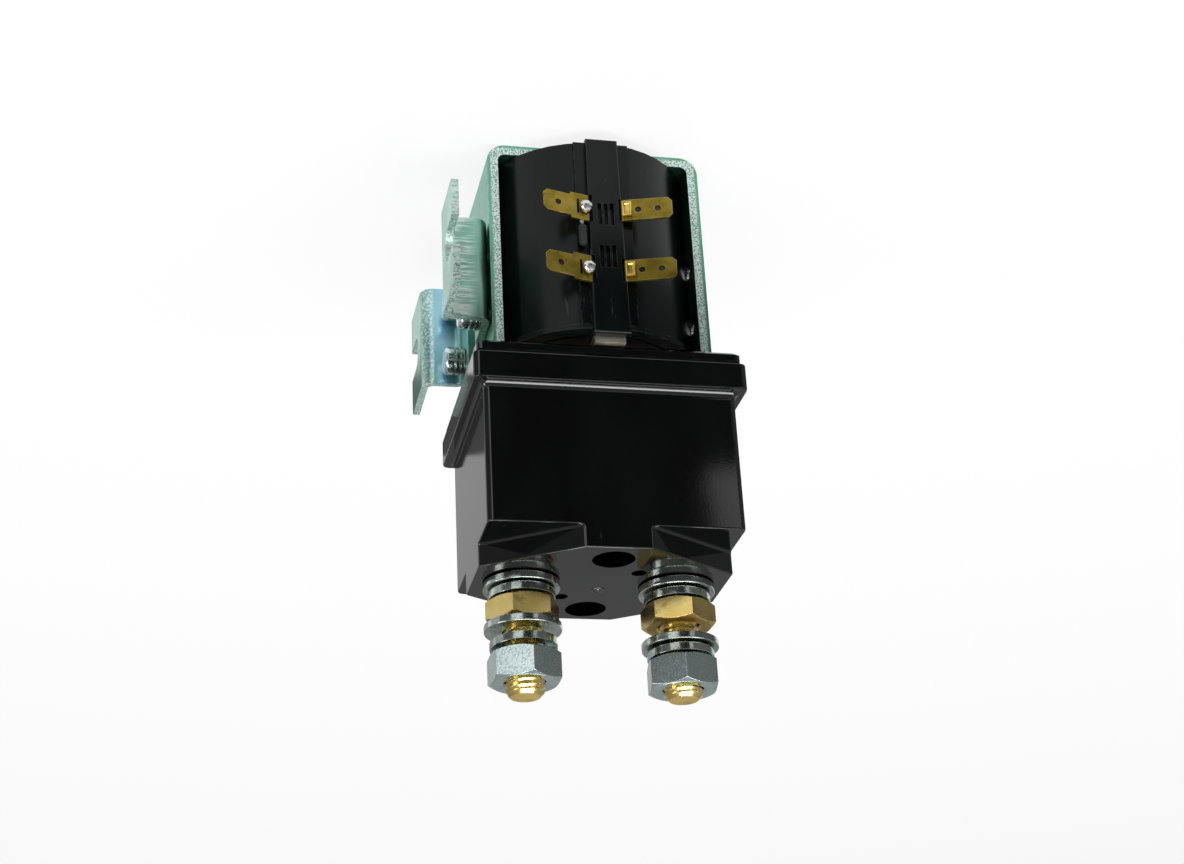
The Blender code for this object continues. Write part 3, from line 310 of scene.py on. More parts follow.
def zincBracket(name, look):
    finish = Finish(name, 1.0)
    tint, rough, relief = look["tint"], look["rough"], look["relief"]
    cloud = finish.noise(*look["cloud"])
    frost = finish.noise(*look["frost"])
    lines = finish.noise(*look["line"])
    tear = finish.noise(*look["tear"]).step(*look["torn"])
    cutFace = finish.towards("Z").step(*look["cutFaced"])
    web = 1 - finish.towards("X").step(*look["plateFaced"])
    front = 1 - finish.at("Y").step(*look["frontEnded"])
    out = finish.at("X")
    stretched = out.step(*look["outerBent"]) * web
    speckle = finish.noise(*look["speckle"]).step(*look["speckled"]) * stretched
    # the front web's band of crosswise lines: the lines are real bumps; where a line is painted
    # light (torn) it is a painted highlight, and where it is dark it is painted shade
    band = out.step(*look["banded"]) * web * front
    torn = lines.step(*look["lined"]) * band
    scored = lines.step(*look["scored"]) * band
    # painted shade: the front web painted darker next to the yoke
    seam = (1 - out.step(*look["seamed"])) * web * front
    # painted highlight: a soft blue sheen painted across the middle of the rear web
    middle = (1 - ((out - look["blushMiddle"]) * look["blushFade"]).size()).kept(0, 1)
    blush = middle * (1 - front) * web * finish.noise(*look["blush"]).step(*look["blushed"])
    wear = finish.worn(look)
    colour = finish.mix(cloud.step(*look["clouded"]), look["deep"], look["pale"])
    # painted light: the next four layers paint the blue sheen, the shade by the yoke, and the light
    # and dark streaks
    colour = finish.mix(blush, colour, look["blue"])
    colour = finish.mix(seam * tint["seam"], colour, look["dark"])
    colour = finish.mix(torn * tint["torn"], colour, look["light"])
    colour = finish.mix(scored * tint["scored"], colour, look["dark"])
    colour = finish.mix(speckle * tint["speckle"], colour, look["light"])
    cut = finish.mix(tear, look["deep"], look["light"])
    colour = finish.mix(cutFace * tint["cut"], colour, cut)
    colour = finish.mix(wear * tint["wear"], colour, look["light"])
    roughness = (look["roughness"] + frost * rough["frost"] + cutFace * rough["cut"]
                 + band * rough["band"])
    height = (frost * relief["frost"] + lines * (relief["line"] + band * relief["band"])
              + tear * cutFace * relief["cut"])
    return finish.finished(colour, roughness, height, look["bump"])


nutLook = dict(pale=(0.72, 0.86, 0.86), deep=(0.62, 0.75, 0.75), stain=(0.20, 0.17, 0.15),
               worn=(0.90, 0.94, 0.93), roughness=0.10, stainShare=0.20)
washerLook = dict(pale=(0.62, 0.70, 0.66), deep=(0.36, 0.42, 0.39), stain=(0.14, 0.13, 0.10),
                  worn=(0.86, 0.90, 0.88), roughness=0.10, stainShare=0.40)
zincGrain = dict(cloud=(160, 3.0), clouded=(0.3, 0.7), frost=(1900, 3.0), stain=(1900, 4.0),
                 stained=(0.50, 0.60), scratch=(1500, 5.0, (0.2, 0.2, 1)), scratched=(0.60, 0.68),
                 corner=0.0004, patch=(900, 3.0), patched=(0.35, 0.6), tint=dict(wear=0.8),
                 rough=dict(cloud=0.10, stain=0.14), relief=dict(frost=0.4), bump=(0.12, 0.00005))


def brightZinc(name, look):
    finish, own = Finish(name, 1.0), zincGrain
    cloud = finish.noise(*own["cloud"])
    frost = finish.noise(*own["frost"])
    stain = finish.noise(*own["stain"]).step(*own["stained"])
    scratch = finish.noise(*own["scratch"]).step(*own["scratched"])
    wear = finish.worn(own)
    colour = finish.mix(cloud.step(*own["clouded"]), look["deep"], look["pale"])
    colour = finish.mix(stain * look["stainShare"], colour, look["stain"])
    colour = finish.mix(scratch * look["stainShare"], colour, look["stain"])
    colour = finish.mix(wear * own["tint"]["wear"], colour, look["worn"])
    rough = own["rough"]
    roughness = look["roughness"] + cloud * rough["cloud"] + stain * rough["stain"]
    return finish.finished(colour, roughness, frost * own["relief"]["frost"], own["bump"])


brassLook = dict(deep=(0.76, 0.56, 0.17), pale=(0.92, 0.74, 0.30), tarnished=(0.40, 0.24, 0.06),
                 worn=(0.95, 0.80, 0.42), dull=(0.46, 0.33, 0.10), roughness=0.18,
                 cloud=(140, 3.0), clouded=(0.3, 0.7), tool=(600, 3.0, (1, 1, 4)),
                 tarnish=(300, 4.0), spread=(0.56, 0.72), endFaced=(0.8, 0.97),
                 corner=0.0004, patch=(800, 3.0), patched=(0.35, 0.6),
                 tint=dict(tarnish=0.5, wear=0.8, end=0.7),
                 rough=dict(cloud=0.10, tarnish=0.12, end=0.22),
                 relief=dict(tool=0.5, cloud=0.6), bump=(0.18, 0.00008))


def yellowBrass(name, look):
    finish = Finish(name, 1.0)
    tint, rough, relief = look["tint"], look["rough"], look["relief"]
    cloud = finish.noise(*look["cloud"])
    tool = finish.noise(*look["tool"])
    tarnish = finish.noise(*look["tarnish"]).step(*look["spread"])
    ends = finish.towards("Z").step(*look["endFaced"])
    wear = finish.worn(look)
    colour = finish.mix(cloud.step(*look["clouded"]), look["deep"], look["pale"])
    colour = finish.mix(tarnish * tint["tarnish"], colour, look["tarnished"])
    colour = finish.mix(wear * tint["wear"], colour, look["worn"])
    colour = finish.mix(ends * tint["end"], colour, look["dull"])
    roughness = (look["roughness"] + cloud * rough["cloud"] + tarnish * rough["tarnish"]
                 + ends * rough["end"])
    height = tool * relief["tool"] + cloud * relief["cloud"]
    return finish.finished(colour, roughness, height, look["bump"])


bladeLook = dict(deep=(0.20, 0.145, 0.018), pale=(0.36, 0.27, 0.045), spotted=(0.12, 0.07, 0.015),
                 worn=(0.85, 0.70, 0.36), roughness=0.30, cloud=(190, 4.0), clouded=(0.3, 0.7),
                 rolled=(700, 3.0, (0.06, 1, 1)), spot=(900, 3.0), spread=(0.60, 0.70),
                 corner=0.0004, patch=(700, 3.0), patched=(0.35, 0.6),
                 tint=dict(spot=0.5, wear=0.8), rough=dict(cloud=0.2), bump=(0.25, 0.0001))


def terminalBrass(name, look):
    finish, tint = Finish(name, 1.0), look["tint"]
    cloud = finish.noise(*look["cloud"])
    rolled = finish.noise(*look["rolled"])
    spots = finish.noise(*look["spot"]).step(*look["spread"])
    wear = finish.worn(look)
    colour = finish.mix(cloud.step(*look["clouded"]), look["deep"], look["pale"])
    colour = finish.mix(spots * tint["spot"], colour, look["spotted"])
    colour = finish.mix(wear * tint["wear"], colour, look["worn"])
    roughness = look["roughness"] + cloud * look["rough"]["cloud"]
    return finish.finished(colour, roughness, rolled + cloud, look["bump"])


metalGrain = dict(cloud=(260, 3.0), clouded=(0.3, 0.7), frost=(2200, 3.0), corner=0.0004,
                  brighter=1.25, tint=dict(wear=0.5), rough=dict(cloud=0.12), bump=(0.2, 0.0001))


def plainMetal(name, pale, deep, roughness):
    finish, own = Finish(name, 1.0), metalGrain
    cloud = finish.noise(*own["cloud"])
    bright = tuple(min(1, own["brighter"] * part) for part in pale)
    wear = finish.corners(own["corner"]) * own["tint"]["wear"]
    colour = finish.mix(cloud.step(*own["clouded"]), deep, pale)
    colour = finish.mix(wear, colour, bright)
    return finish.finished(colour, roughness + cloud * own["rough"]["cloud"],
                           finish.noise(*own["frost"]), own["bump"])


finishes = {
    "black_plastic": mouldedPlastic("housingPlastic", housingLook),
    "jacket": mouldedPlastic("jacketPlastic", jacketLook),
    "natural_plastic": naturalPlastic("naturalPlastic", naturalLook),
    "black_rubber": blackRubber("blackRubber", rubberLook),
    "zinc_plate": zincBracket("zincPlateBrackets", bracketLook),
    "yoke": zincYoke("zincPlateYoke", yokeLook),
    "bright_zinc": brightZinc("brightZincNuts", nutLook),
    "washers": brightZinc("brightZincWashers", washerLook),
    "yellow_brass": yellowBrass("yellowBrass", brassLook),
    "terminal_brass": terminalBrass("terminalBrass", bladeLook),
    "clips": plainMetal("clipBrass", (0.80, 0.58, 0.15), (0.50, 0.33, 0.06), 0.22),
    "pole_steel": plainMetal("poleSteel", (0.92, 0.88, 0.76), (0.62, 0.57, 0.44), 0.38),
    "solder": plainMetal("solder", (0.80, 0.81, 0.80), (0.55, 0.56, 0.54), 0.12),
    "copper": plainMetal("copper", (0.78, 0.38, 0.22), (0.58, 0.26, 0.14), 0.28),
    "silver": plainMetal("silver", (0.84, 0.83, 0.80), (0.66, 0.65, 0.62), 0.25),
    "steel": plainMetal("steel", (0.56, 0.56, 0.55), (0.38, 0.38, 0.37), 0.30),
}
print("finishes wired:", len(finishes))


weldDistance = 1e-6  # points closer than this become one
skinShape = dict(weld=2e-6, level=0.4, smooth=35, strongArea=0.00012, decimals=2)


def alone(piece):  # only this piece selected and active
    if bpy.context.object and bpy.context.object.mode != "OBJECT":
        bpy.ops.object.mode_set(mode="OBJECT")
    bpy.ops.object.select_all(action="DESELECT")
    if piece:
        bpy.context.view_layer.objects.active = piece
        piece.select_set(True)


def settled(piece):  # origin at the world's, place in the mesh
    alone(piece)
    bpy.ops.object.transform_apply(location=True, rotation=True, scale=True)


def openAll(piece):  # edit mode with everything selected
    alone(piece)
    bpy.ops.object.mode_set(mode="EDIT")
    bpy.ops.mesh.select_all(action="SELECT")


def closed():
    bpy.ops.object.mode_set(mode="OBJECT")


def eased(piece, width, segments=2, limit=35):  # small rounds on the sharp edges
    alone(piece)
    modifier = piece.modifiers.new("edges", "BEVEL")
    modifier.width = width
    modifier.segments = segments
    modifier.limit_method = "ANGLE"
    modifier.angle_limit = math.radians(limit)
    modifier.use_clamp_overlap = True
    bpy.ops.object.modifier_apply(modifier=modifier.name)


def wayOf(face):
    return tuple(round(part, skinShape["decimals"]) for part in face.normal)


def strengthened(piece, area):  # directions with more flat face than this keep their own normals
    spread = {}
    for face in piece.data.polygons:
        spread[wayOf(face)] = spread.get(wayOf(face), 0) + face.area
    openAll(piece)
    bpy.ops.mesh.select_mode(type="FACE")
    bpy.ops.mesh.select_all(action="SELECT")
    bpy.ops.mesh.mod_weighted_strength(set=True, face_strength="WEAK")
    bpy.ops.mesh.select_all(action="DESELECT")
    closed()
    for face in piece.data.polygons:
        face.select = spread[wayOf(face)] > area
    bpy.ops.object.mode_set(mode="EDIT")
    bpy.ops.mesh.mod_weighted_strength(set=True, face_strength="STRONG")
    bpy.ops.mesh.select_mode(type="VERT")
    closed()


def smoothed(piece, angle=skinShape["smooth"], flatArea=0.0):  # round faces smooth, flat ones flat
    alone(piece)
    bpy.ops.object.shade_smooth_by_angle(angle=math.radians(angle))
    if flatArea:
        strengthened(piece, flatArea)
    modifier = piece.modifiers.new("normals", "WEIGHTED_NORMAL")
    modifier.keep_sharp = True
    modifier.use_face_influence = bool(flatArea)
    bpy.ops.object.modifier_apply(modifier=modifier.name)


def combined(piece, tool, operation):  # a boolean with a tool that is then thrown away
    alone(piece)
    modifier = piece.modifiers.new("tool", "BOOLEAN")
    modifier.operation = operation
    modifier.solver = "EXACT"
    modifier.object = tool
    bpy.ops.object.modifier_apply(modifier=modifier.name)
    bpy.data.objects.remove(tool, do_unlink=True)


def drawnLine(name, points):  # a plane merged to one point, then extruded along the line
    alone(None)
    bpy.ops.mesh.primitive_plane_add(size=0.01)
    piece = bpy.context.object
    piece.name = name
    openAll(piece)
    bpy.ops.mesh.merge(type="CENTER")
    bpy.ops.transform.translate(value=points[0])
    for here, there in zip(points, points[1:]):
        move = Vector(there) - Vector(here)
        bpy.ops.mesh.extrude_vertices_move(TRANSFORM_OT_translate={"value": move})
    closed()
    return piece


def turnedPiece(name, profile, place, steps, axis="Z"):  # (radius, height) points spun
    piece = drawnLine(name, [(radius, 0, height) for radius, height in profile])
    openAll(piece)
    bpy.ops.mesh.spin(steps=steps, angle=math.tau, center=(0, 0, 0), axis=(0, 0, 1))
    bpy.ops.mesh.select_all(action="SELECT")
    bpy.ops.mesh.remove_doubles(threshold=weldDistance)
    bpy.ops.mesh.normals_make_consistent(inside=False)
    closed()
    if axis == "X":
        piece.rotation_euler = (0, math.pi / 2, 0)
    piece.location = place
    settled(piece)
    return piece


def finishedWith(piece, finishName):
    piece.data.materials.clear()
    piece.data.materials.append(finishes[finishName])


def mounted(piece, slotName, finishName, *replaced, body="frame"):
    finishedWith(piece, finishName)
    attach(piece, body)
    if replaced:
        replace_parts(piece, *replaced)
    return piece


def skinOf(node, width=0.0, segments=2, angle=skinShape["smooth"], flatArea=0.0):
    # the part's own shape, merged and eased
    alone(None)
    piece = bpy.data.objects.new(node + "Skin", parts[node].data.copy())
    bpy.context.collection.objects.link(piece)
    alone(piece)
    bpy.ops.mesh.customdata_custom_splitnormals_clear()
    openAll(piece)
    bpy.ops.mesh.remove_doubles(threshold=skinShape["weld"])
    bpy.ops.mesh.dissolve_limited(angle_limit=math.radians(skinShape["level"]))
    closed()
    if width:
        eased(piece, width, segments)
    smoothed(piece, angle, flatArea)
    return piece


# Mouldings, steelwork and fasteners: the parts' own shapes, merged, and all but the mouldings with
# eased edges.
# Each row is the slot, the finish, the width of the round and its segments.

skins = {
    "housing": ("black_plastic", "black_plastic", 0.0, 1),
    "base_moulding": ("black_plastic", "black_plastic", 0.0, 1),
    "coil_jacket": ("black_plastic", "jacket", 0.0, 1),
    "yoke": ("zinc_plate", "yoke", 0.00025, 2),
    "pole_plate": ("zinc_plate", "pole_steel", 0.0002, 2),
    "front_bracket": ("zinc_plate", "zinc_plate", 0.00022, 2),
    "rear_bracket": ("zinc_plate", "zinc_plate", 0.00022, 2),
}
numbers = (1, 2, 3, 4)
sides = ("right", "left")
for number in numbers:
    skins[f"bracket_screw_{number}"] = ("bright_zinc", "bright_zinc", 0.0002, 2)
    skins[f"bracket_lock_washer_{number}"] = ("bright_zinc", "washers", 0.00012, 2)
    skins[f"bracket_washer_{number}"] = ("bright_zinc", "washers", 0.00015, 2)
    skins[f"coil_terminal_{number}"] = ("terminal_brass", "terminal_brass", 0.00010, 2)
for side in sides:
    for level in ("lower", "upper"):
        skins[f"{side}_{level}_washer"] = ("bright_zinc", "washers", 0.00028, 3)
    for level in ("lower", "upper"):
        skins[f"{side}_{level}_lock_washer"] = ("bright_zinc", "washers", 0.0002, 2)

for node, (slotName, finishName, width, segments) in skins.items():
    flatArea = skinShape["strongArea"] if finishName == "black_plastic" else 0.0
    piece = skinOf(node, width, segments, flatArea=flatArea)
    mounted(piece, slotName, finishName, node, body=parts[node]["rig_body"])
print("skins made:", len(skins))


studShape = dict(pitch=0.0015, crest=0.005, root=0.0042, flat=0.00018, start=0.1165, chamfer=0.0012,
                 steps=48, spareTurns=4, lead=2.01, topTrim=0.00001, overlap=0.0007,
                 blankSteps=96, smooth=30)


def cutLevel(x, z, **side):
    bpy.ops.mesh.bisect(plane_co=(x, 0, z), plane_no=(0, 0, 1), use_fill=True, **side)


def threadRope(name, top):  # the thread's profile wound up the stud
    shape = studShape
    pitch, crest, root, flat = shape["pitch"], shape["crest"], shape["root"], shape["flat"]
    middle = pitch / 2
    rope = drawnLine(name, [(root, 0, 0), (root, 0, flat), (crest, 0, middle - flat / 2),
                            (crest, 0, middle + flat / 2), (root, 0, pitch)])
    screw = rope.modifiers.new("thread", "SCREW")
    screw.axis = "Z"
    screw.screw_offset = pitch
    screw.iterations = int((top - shape["start"]) / pitch) + shape["spareTurns"]
    screw.steps = screw.render_steps = shape["steps"]
    screw.use_merge_vertices = True
    screw.merge_threshold = weldDistance
    alone(rope)
    bpy.ops.object.modifier_apply(modifier=screw.name)
    return rope


def threadedStud(node):
    shape = studShape
    low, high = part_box(node)
    x = (low.x + high.x) / 2
    start, crest, chamfer = shape["start"], shape["crest"], shape["chamfer"]
    stud = threadRope(node + "Thread", high.z)
    stud.location = (x, 0, start - shape["lead"] * shape["pitch"])
    settled(stud)
    openAll(stud)
    bpy.ops.mesh.remove_doubles(threshold=weldDistance)
    cutLevel(x, start, clear_inner=True)
    bpy.ops.mesh.select_all(action="SELECT")
    cutLevel(x, high.z - shape["topTrim"], clear_outer=True)
    bpy.ops.mesh.select_all(action="SELECT")
    bpy.ops.mesh.normals_make_consistent(inside=False)
    closed()
    foot = start - shape["pitch"]
    blank = [(0, high.z), (crest - chamfer, high.z), (crest, high.z - chamfer), (crest, foot),
             (0, foot)]
    combined(stud, turnedPiece("studBlank", blank, (x, 0, 0), shape["blankSteps"]), "INTERSECT")
    lower = skinOf(node)
    openAll(lower)
    cutLevel(x, start + shape["overlap"], clear_outer=True)
    closed()
    combined(stud, lower, "UNION")
    smoothed(stud, shape["smooth"])
    return mounted(stud, "yellow_brass", "yellow_brass", node)


rightStud = threadedStud("right_stud")
alone(rightStud)
bpy.ops.object.duplicate()
leftStud = bpy.context.object
leftStud.name = "left_studThread"
leftStud.location.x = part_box("left_stud")[0].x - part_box("right_stud")[0].x
settled(leftStud)
mounted(leftStud, "yellow_brass", "yellow_brass", "left_stud")
print("studs threaded")


nutShape = dict(width=0.017, bore=0.0052, flat=0.00825, slope=28, countersink=0.0006, spare=0.0004,
                round=0.00014, roundLimit=25, steps=96, smooth=30)


def cornerTurn(node):  # where the part's own hexagon has a corner
    low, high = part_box(node)
    centre = (low + high) / 2
    far = max((vert.co - centre for vert in parts[node].data.vertices),
              key=lambda reach: reach.x ** 2 + reach.y ** 2)
    return math.atan2(far.y, far.x)


def hexNut(node, slotName):
    shape = nutShape
    low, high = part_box(node)
    centre, height = (low + high) / 2, high.z - low.z
    corner = shape["width"] / math.sqrt(3)
    alone(None)
    bpy.ops.mesh.primitive_cylinder_add(vertices=6, radius=corner, depth=height,
                                        location=(centre.x, centre.y, low.z + height / 2),
                                        rotation=(0, 0, cornerTurn(node) - math.pi / 2))
    nut = bpy.context.object
    nut.name = node + "Hex"
    settled(nut)
    flat, bore, sink = shape["flat"], shape["bore"], shape["countersink"]
    out = corner + shape["spare"]
    slope = (out - flat) * math.tan(math.radians(shape["slope"]))
    profile = [(bore + sink, 0), (flat, 0), (out, slope), (out, height - slope), (flat, height),
               (bore + sink, height), (bore, height - sink), (bore, sink), (bore + sink, 0)]
    blank = turnedPiece("nutBlank", profile, (centre.x, centre.y, low.z), shape["steps"])
    combined(nut, blank, "INTERSECT")
    eased(nut, shape["round"], limit=shape["roundLimit"])
    smoothed(nut, shape["smooth"])
    return mounted(nut, slotName, slotName, node)


for side in sides:
    hexNut(f"{side}_brass_nut", "yellow_brass")
    hexNut(f"{side}_steel_nut", "bright_zinc")
print("nuts cut")


turnedSmooth = 50  # shading angle of the small turned pieces
tapShape = dict(outer=0.00265, crest=0.0021, root=0.0024, pitch=0.0008, length=0.0029,
                level=0.02645, steps=40)


def tappedThread(name, y, z):  # thread in a free hole of the yoke's side plate
    shape = tapShape
    outer, root, length, pitch = shape["outer"], shape["root"], shape["length"], shape["pitch"]
    profile = [(outer, 0)]
    rise = 0.0
    while rise < length - pitch:
        profile += [(root, rise), (shape["crest"], rise + pitch / 2)]
        rise += pitch
    profile += [(root, length), (outer, length), (outer, 0)]
    ring = turnedPiece(name, profile, (-shape["level"] - length, y, z), shape["steps"], "X")
    smoothed(ring, turnedSmooth)
    return mounted(ring, "zinc_plate", "washers")


for number in numbers:  # opposite the bracket screws
    low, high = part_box(f"bracket_screw_{number}")
    tappedThread(f"tappedThread{number}", (low.y + high.y) / 2, (low.z + high.z) / 2)
print("threads tapped")


clipShape = dict(width=0.0026, height=0.0044, thickness=0.0009, rim=0.0005, sink=0.0006,
                 floorShare=0.8, reach=0.0056, ridgeEdge=0.0044, ridgeFace=-0.0307,
                 bladeHalf=0.0004, lift=0.00015, tilt=15.5, round=0.00018, frontFaced=-0.9)


def rootClip(node):  # folded clip at the root of a two-hole blade
    shape = clipShape
    low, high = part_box(node)
    tilt = math.radians(shape["tilt"])
    rootFront = shape["ridgeFace"] - (shape["reach"] - shape["ridgeEdge"]) * math.tan(tilt)
    out = shape["bladeHalf"] / math.cos(tilt) + shape["lift"] + shape["thickness"] / 2
    alone(None)
    bpy.ops.mesh.primitive_cube_add(size=1)
    clip = bpy.context.object
    clip.name = node + "Clip"
    bpy.ops.object.mode_set(mode="EDIT")
    bpy.ops.transform.resize(value=(shape["width"], shape["thickness"], shape["height"]))
    bpy.ops.mesh.select_mode(type="FACE")
    bpy.ops.mesh.select_all(action="DESELECT")
    closed()
    for face in clip.data.polygons:
        face.select = face.normal.y < shape["frontFaced"]
    bpy.ops.object.mode_set(mode="EDIT")
    bpy.ops.mesh.inset(thickness=shape["rim"])
    bpy.ops.mesh.extrude_region_move(TRANSFORM_OT_translate={"value": (0, shape["sink"], 0)})
    bpy.ops.transform.resize(value=(shape["floorShare"], 1, shape["floorShare"]))
    bpy.ops.mesh.select_mode(type="VERT")
    closed()
    clip.rotation_euler = (0, 0, tilt)
    clip.location = (-shape["reach"], rootFront - out, (low.z + high.z) / 2)
    settled(clip)
    eased(clip, shape["round"])
    smoothed(clip)
    return mounted(clip, "terminal_brass", "clips")


rootClip("coil_terminal_3")
rootClip("coil_terminal_4")
print("clips folded")


leadShape = dict(drop=0.0029, steps=24, profile=[(0, 0), (0.0005, 0), (0.0006, 0.0004),
                                                 (0.0006, 0.0022), (0.0004, 0.0027), (0, 0.0028)])


def leadEnd():  # bare end of the coil lead below its sleeve
    low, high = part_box("lead_sleeve")
    middle = (low + high) / 2
    place = (middle.x, middle.y, low.z - leadShape["drop"])
    wire = turnedPiece("leadEnd", leadShape["profile"], place, leadShape["steps"])
    smoothed(wire, turnedSmooth)
    return mounted(wire, "solder", "solder")


gateShape = dict(place=(-0.0004, 0.0035), lift=0.00002, steps=40,
                 profile=[(0, 0.00012), (0.0005, 0.00016), (0.0007, 0.00004), (0.0013, 0.00004),
                          (0.0015, 0.00012), (0.0018, 0.00012), (0.0020, 0), (0, 0)])


def gateMark():  # where the plastic came into the mould, on the terminal face
    place = (*gateShape["place"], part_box("housing")[1].z + gateShape["lift"])
    mark = turnedPiece("gateMark", gateShape["profile"], place, gateShape["steps"])
    smoothed(mark, turnedSmooth)
    return mounted(mark, "black_plastic", "black_plastic")


shadeCoverShape = dict(lift=0.00006, steps=72,
                  profile=[(0.0118, 0), (0.0258, 0), (0.0260, 0.00008), (0.0258, 0.00016),
                           (0.0118, 0.00016), (0.0118, 0)])


def coilCover():  # painted shade: a thin black washer laid over the bobbin, under the pole plate, that darkens the gap between them
    place = (0, 0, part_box("bobbin")[1].z + shadeCoverShape["lift"])
    cover = turnedPiece("coilCover", shadeCoverShape["profile"], place, shadeCoverShape["steps"])
    smoothed(cover, turnedSmooth)
    return mounted(cover, "black_plastic", "jacket")


leadEnd()
gateMark()
coilCover()
print("small fittings made")


springShape = dict(smooth=60, endRoom=0.0006)


def coilSpring(node):  # a spring between the two bodies that it pushes apart, kept in its own shape and tied to neither
    spring = skinOf(node, angle=springShape["smooth"])
    finishedWith(spring, "steel")
    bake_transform(spring)
    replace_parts(spring, node)
    return spring


coilSpring("return_spring")
coilSpring("contact_spring")
print("springs wound")


# Every other part keeps its shape and takes a finish.
worn = {
    "natural_plastic": ["bobbin", "spring_seat", "bridge_bush"],
    "black_rubber": ["end_stop", "lead_sleeve"],
    "solder": ["solder_joint_1", "solder_joint_2"],
    "copper": ["winding", "contact_bridge"],
    "silver": [f"{side}_{kind}_tip" for side in sides for kind in ("fixed", "moving")],
    "steel": ["fixed_pole", "plunger", "spindle", "spindle_circlip", "front_housing_screw",
              "rear_housing_screw"],
}
for finishName, names in worn.items():
    for name in names:
        for holder in parts[name].material_slots:
            holder.material = finishes[finishName]
for name, part in parts.items():  # a part that a skin stands for takes the skin's finish too
    if part.hide_render:
        for holder in part.material_slots:
            standing = [thing for thing in bpy.context.scene.objects
                        if name in list(thing.get("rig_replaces", []))]
            holder.material = standing[0].data.materials[0]
print("finishes given out")


def plainPaper(name, tone, roughness):
    paper = Finish(name)
    paper.fixed({"Base Color": (tone, tone, tone), "Roughness": roughness,
                 "Specular IOR Level": 0.0})
    return paper


white = (1.0, 1.0, 1.0)
floorShape = dict(radius=6.0, vertices=64, drop=0.0002, tone=0.92, roughness=0.9, glowShare=0.85)


def studioFloor():  # camera and mirrors see it nearly white, and it keeps its shadow
    shape = floorShape
    alone(None)
    bpy.ops.mesh.primitive_circle_add(vertices=shape["vertices"], radius=shape["radius"],
                                      fill_type="NGON",
                                      location=(0, 0, cadLow.z - shape["drop"]))
    floor = bpy.context.object
    floor.name = "studioFloor"
    paper = plainPaper("floorPaper", shape["tone"], shape["roughness"])
    glow = paper.node("Emission", {}, {"Color": white, "Strength": 1.0})
    seen, mirrored, through = (paper.node("LightPath", {}, {}, ray) for ray in
                               ("Is Camera Ray", "Is Glossy Ray", "Is Transmission Ray"))
    direct = seen.maths("MAXIMUM", mirrored).maths("MAXIMUM", through)
    matt = Signal(paper, paper.shader.outputs[0])
    surface = paper.node("MixShader", {}, {0: direct * shape["glowShare"], 1: matt, 2: glow})
    paper.join(surface, paper.tree.nodes["Material Output"].inputs["Surface"])
    floor.data.materials.append(paper.material)


worldLevel = 0.3


def studioWorld(level):  # plain white where the camera looks past the floor
    world = bpy.data.worlds.new("studio")
    bpy.context.scene.world = world
    world.use_nodes = True
    wiring = Wiring(world.node_tree)
    wiring.tree.nodes.remove(wiring.tree.nodes["Background"])
    soft = wiring.node("Background", {}, {"Color": white, "Strength": level})
    plain = wiring.node("Background", {}, {"Color": white, "Strength": 1.0})
    seen = wiring.node("LightPath", {}, {}, "Is Camera Ray")
    surface = wiring.node("MixShader", {}, {0: seen, 1: soft, 2: plain})
    wiring.join(surface, wiring.tree.nodes["World Output"].inputs["Surface"])


# Cards on the floor that only reflections see: tone, inner and outer radius, bearings in degrees.
floorCards = {
    "frontCard": dict(tone=0.03, near=0.09, far=0.25, sectors=[(240, 285)]),
    "frontFarCard": dict(tone=0.03, near=0.25, far=1.6, sectors=[(251, 285)]),
    "brassCard": dict(tone=0.60, near=0.25, far=1.6, sectors=[(238, 250)]),
    "dimCard": dict(tone=0.13, near=0.09, far=1.6, sectors=[(155, 238), (322, 352)]),
    "goldCard": dict(tone=0.50, near=0.09, far=1.6, sectors=[(352, 360), (0, 25)]),
    "slantCard": dict(tone=0.10, near=0.18, far=1.6, sectors=[(316, 322)]),
    "sideCard": dict(tone=0.10, near=0.13, far=0.19, sectors=[(40, 115)]),
    "rearCard": dict(tone=0.50, near=0.19, far=1.6, sectors=[(40, 115)]),
}
cardShape = dict(vertices=180, lift=0.0003, roughness=1.0)


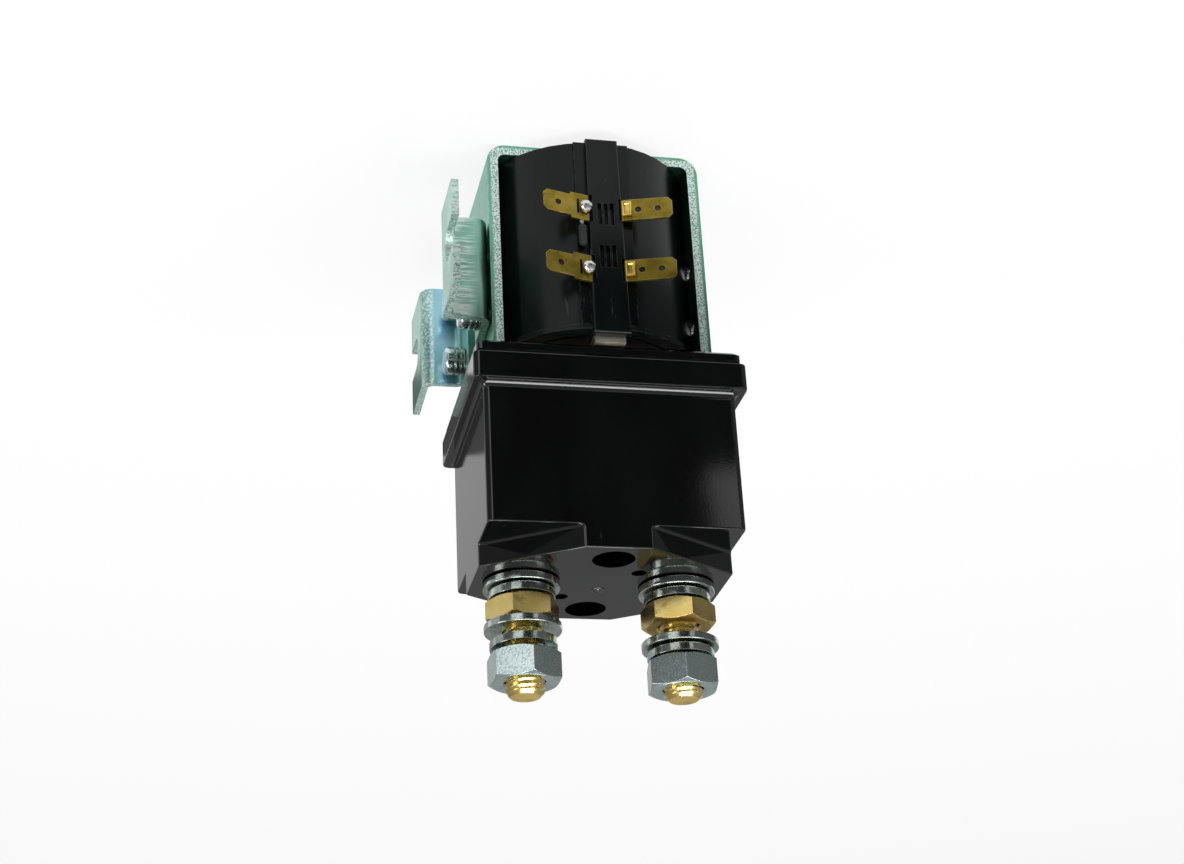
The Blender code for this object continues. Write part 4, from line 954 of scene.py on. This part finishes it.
def floorCard(name, tone, near, far, sectors):
    alone(None)
    bpy.ops.mesh.primitive_circle_add(vertices=cardShape["vertices"], radius=far,
                                      fill_type="NGON",
                                      location=(0, 0, cadLow.z + cardShape["lift"]))
    card = bpy.context.object
    card.name = name
    openAll(card)
    bpy.ops.mesh.inset(thickness=far - near)
    bpy.ops.mesh.delete(type="FACE")
    closed()
    settled(card)
    for face in card.data.polygons:
        bearing = math.degrees(math.atan2(face.center.y, face.center.x)) % 360
        face.select = not any(start < bearing < end for start, end in sectors)
    bpy.ops.object.mode_set(mode="EDIT")
    bpy.ops.mesh.delete(type="FACE")
    closed()
    card.data.materials.append(plainPaper(name, tone, cardShape["roughness"]).material)
    card.visible_camera = False
    card.visible_diffuse = False
    card.visible_shadow = False


softBoxes = {
    "topLamp": dict(place=(-0.05, -0.35, 1.00), size=(1.00, 0.36), power=7.5),
    "backTopLamp": dict(place=(-0.12, 0.55, 0.90), size=(0.35, 0.25), power=1.5),
    "fillLamp": dict(place=(0.85, -0.18, 0.48), size=(0.4, 0.5), power=2.6),
    "sideLamp": dict(place=(-0.62, -0.50, 0.75), size=(0.4, 0.5), power=2.0),
}
lampAim = Vector((0, 0, 0.075))


def softBox(name, place, size, power):
    lamp = bpy.data.lights.new(name, "AREA")
    lamp.shape = "RECTANGLE"
    lamp.size, lamp.size_y = size
    lamp.energy = power
    holder = bpy.data.objects.new(name, lamp)
    bpy.context.collection.objects.link(holder)
    holder.location = place
    holder.rotation_euler = (lampAim - Vector(place)).to_track_quat("-Z", "Y").to_euler()


# Read off the photo: where the camera is, its own axes, and its lens.
cameraView = dict(place=(0.1154, -0.4915, 0.3148), right=(-0.97730, -0.20597, 0.04967),
                  up=(0.04442, -0.42840, -0.90250), back=(0.20716, -0.87980, 0.42783),
                  lens=63.44, sensor=36, clip=(0.01, 50))


def studioCamera(view):
    camera = bpy.data.objects.new("camera", bpy.data.cameras.new("camera"))
    bpy.context.collection.objects.link(camera)
    axes = Matrix((view["right"], view["up"], view["back"])).transposed()
    camera.matrix_world = Matrix.Translation(view["place"]) @ axes.to_4x4()
    camera.data.lens = view["lens"]
    camera.data.sensor_width = view["sensor"]
    camera.data.clip_start, camera.data.clip_end = view["clip"]
    bpy.context.scene.camera = camera


studioFloor()
studioWorld(worldLevel)
for name, card in floorCards.items():
    floorCard(name, **card)
for name, box in softBoxes.items():
    softBox(name, **box)
studioCamera(cameraView)
bpy.context.scene.view_settings.view_transform = "Standard"
print("studio ready")
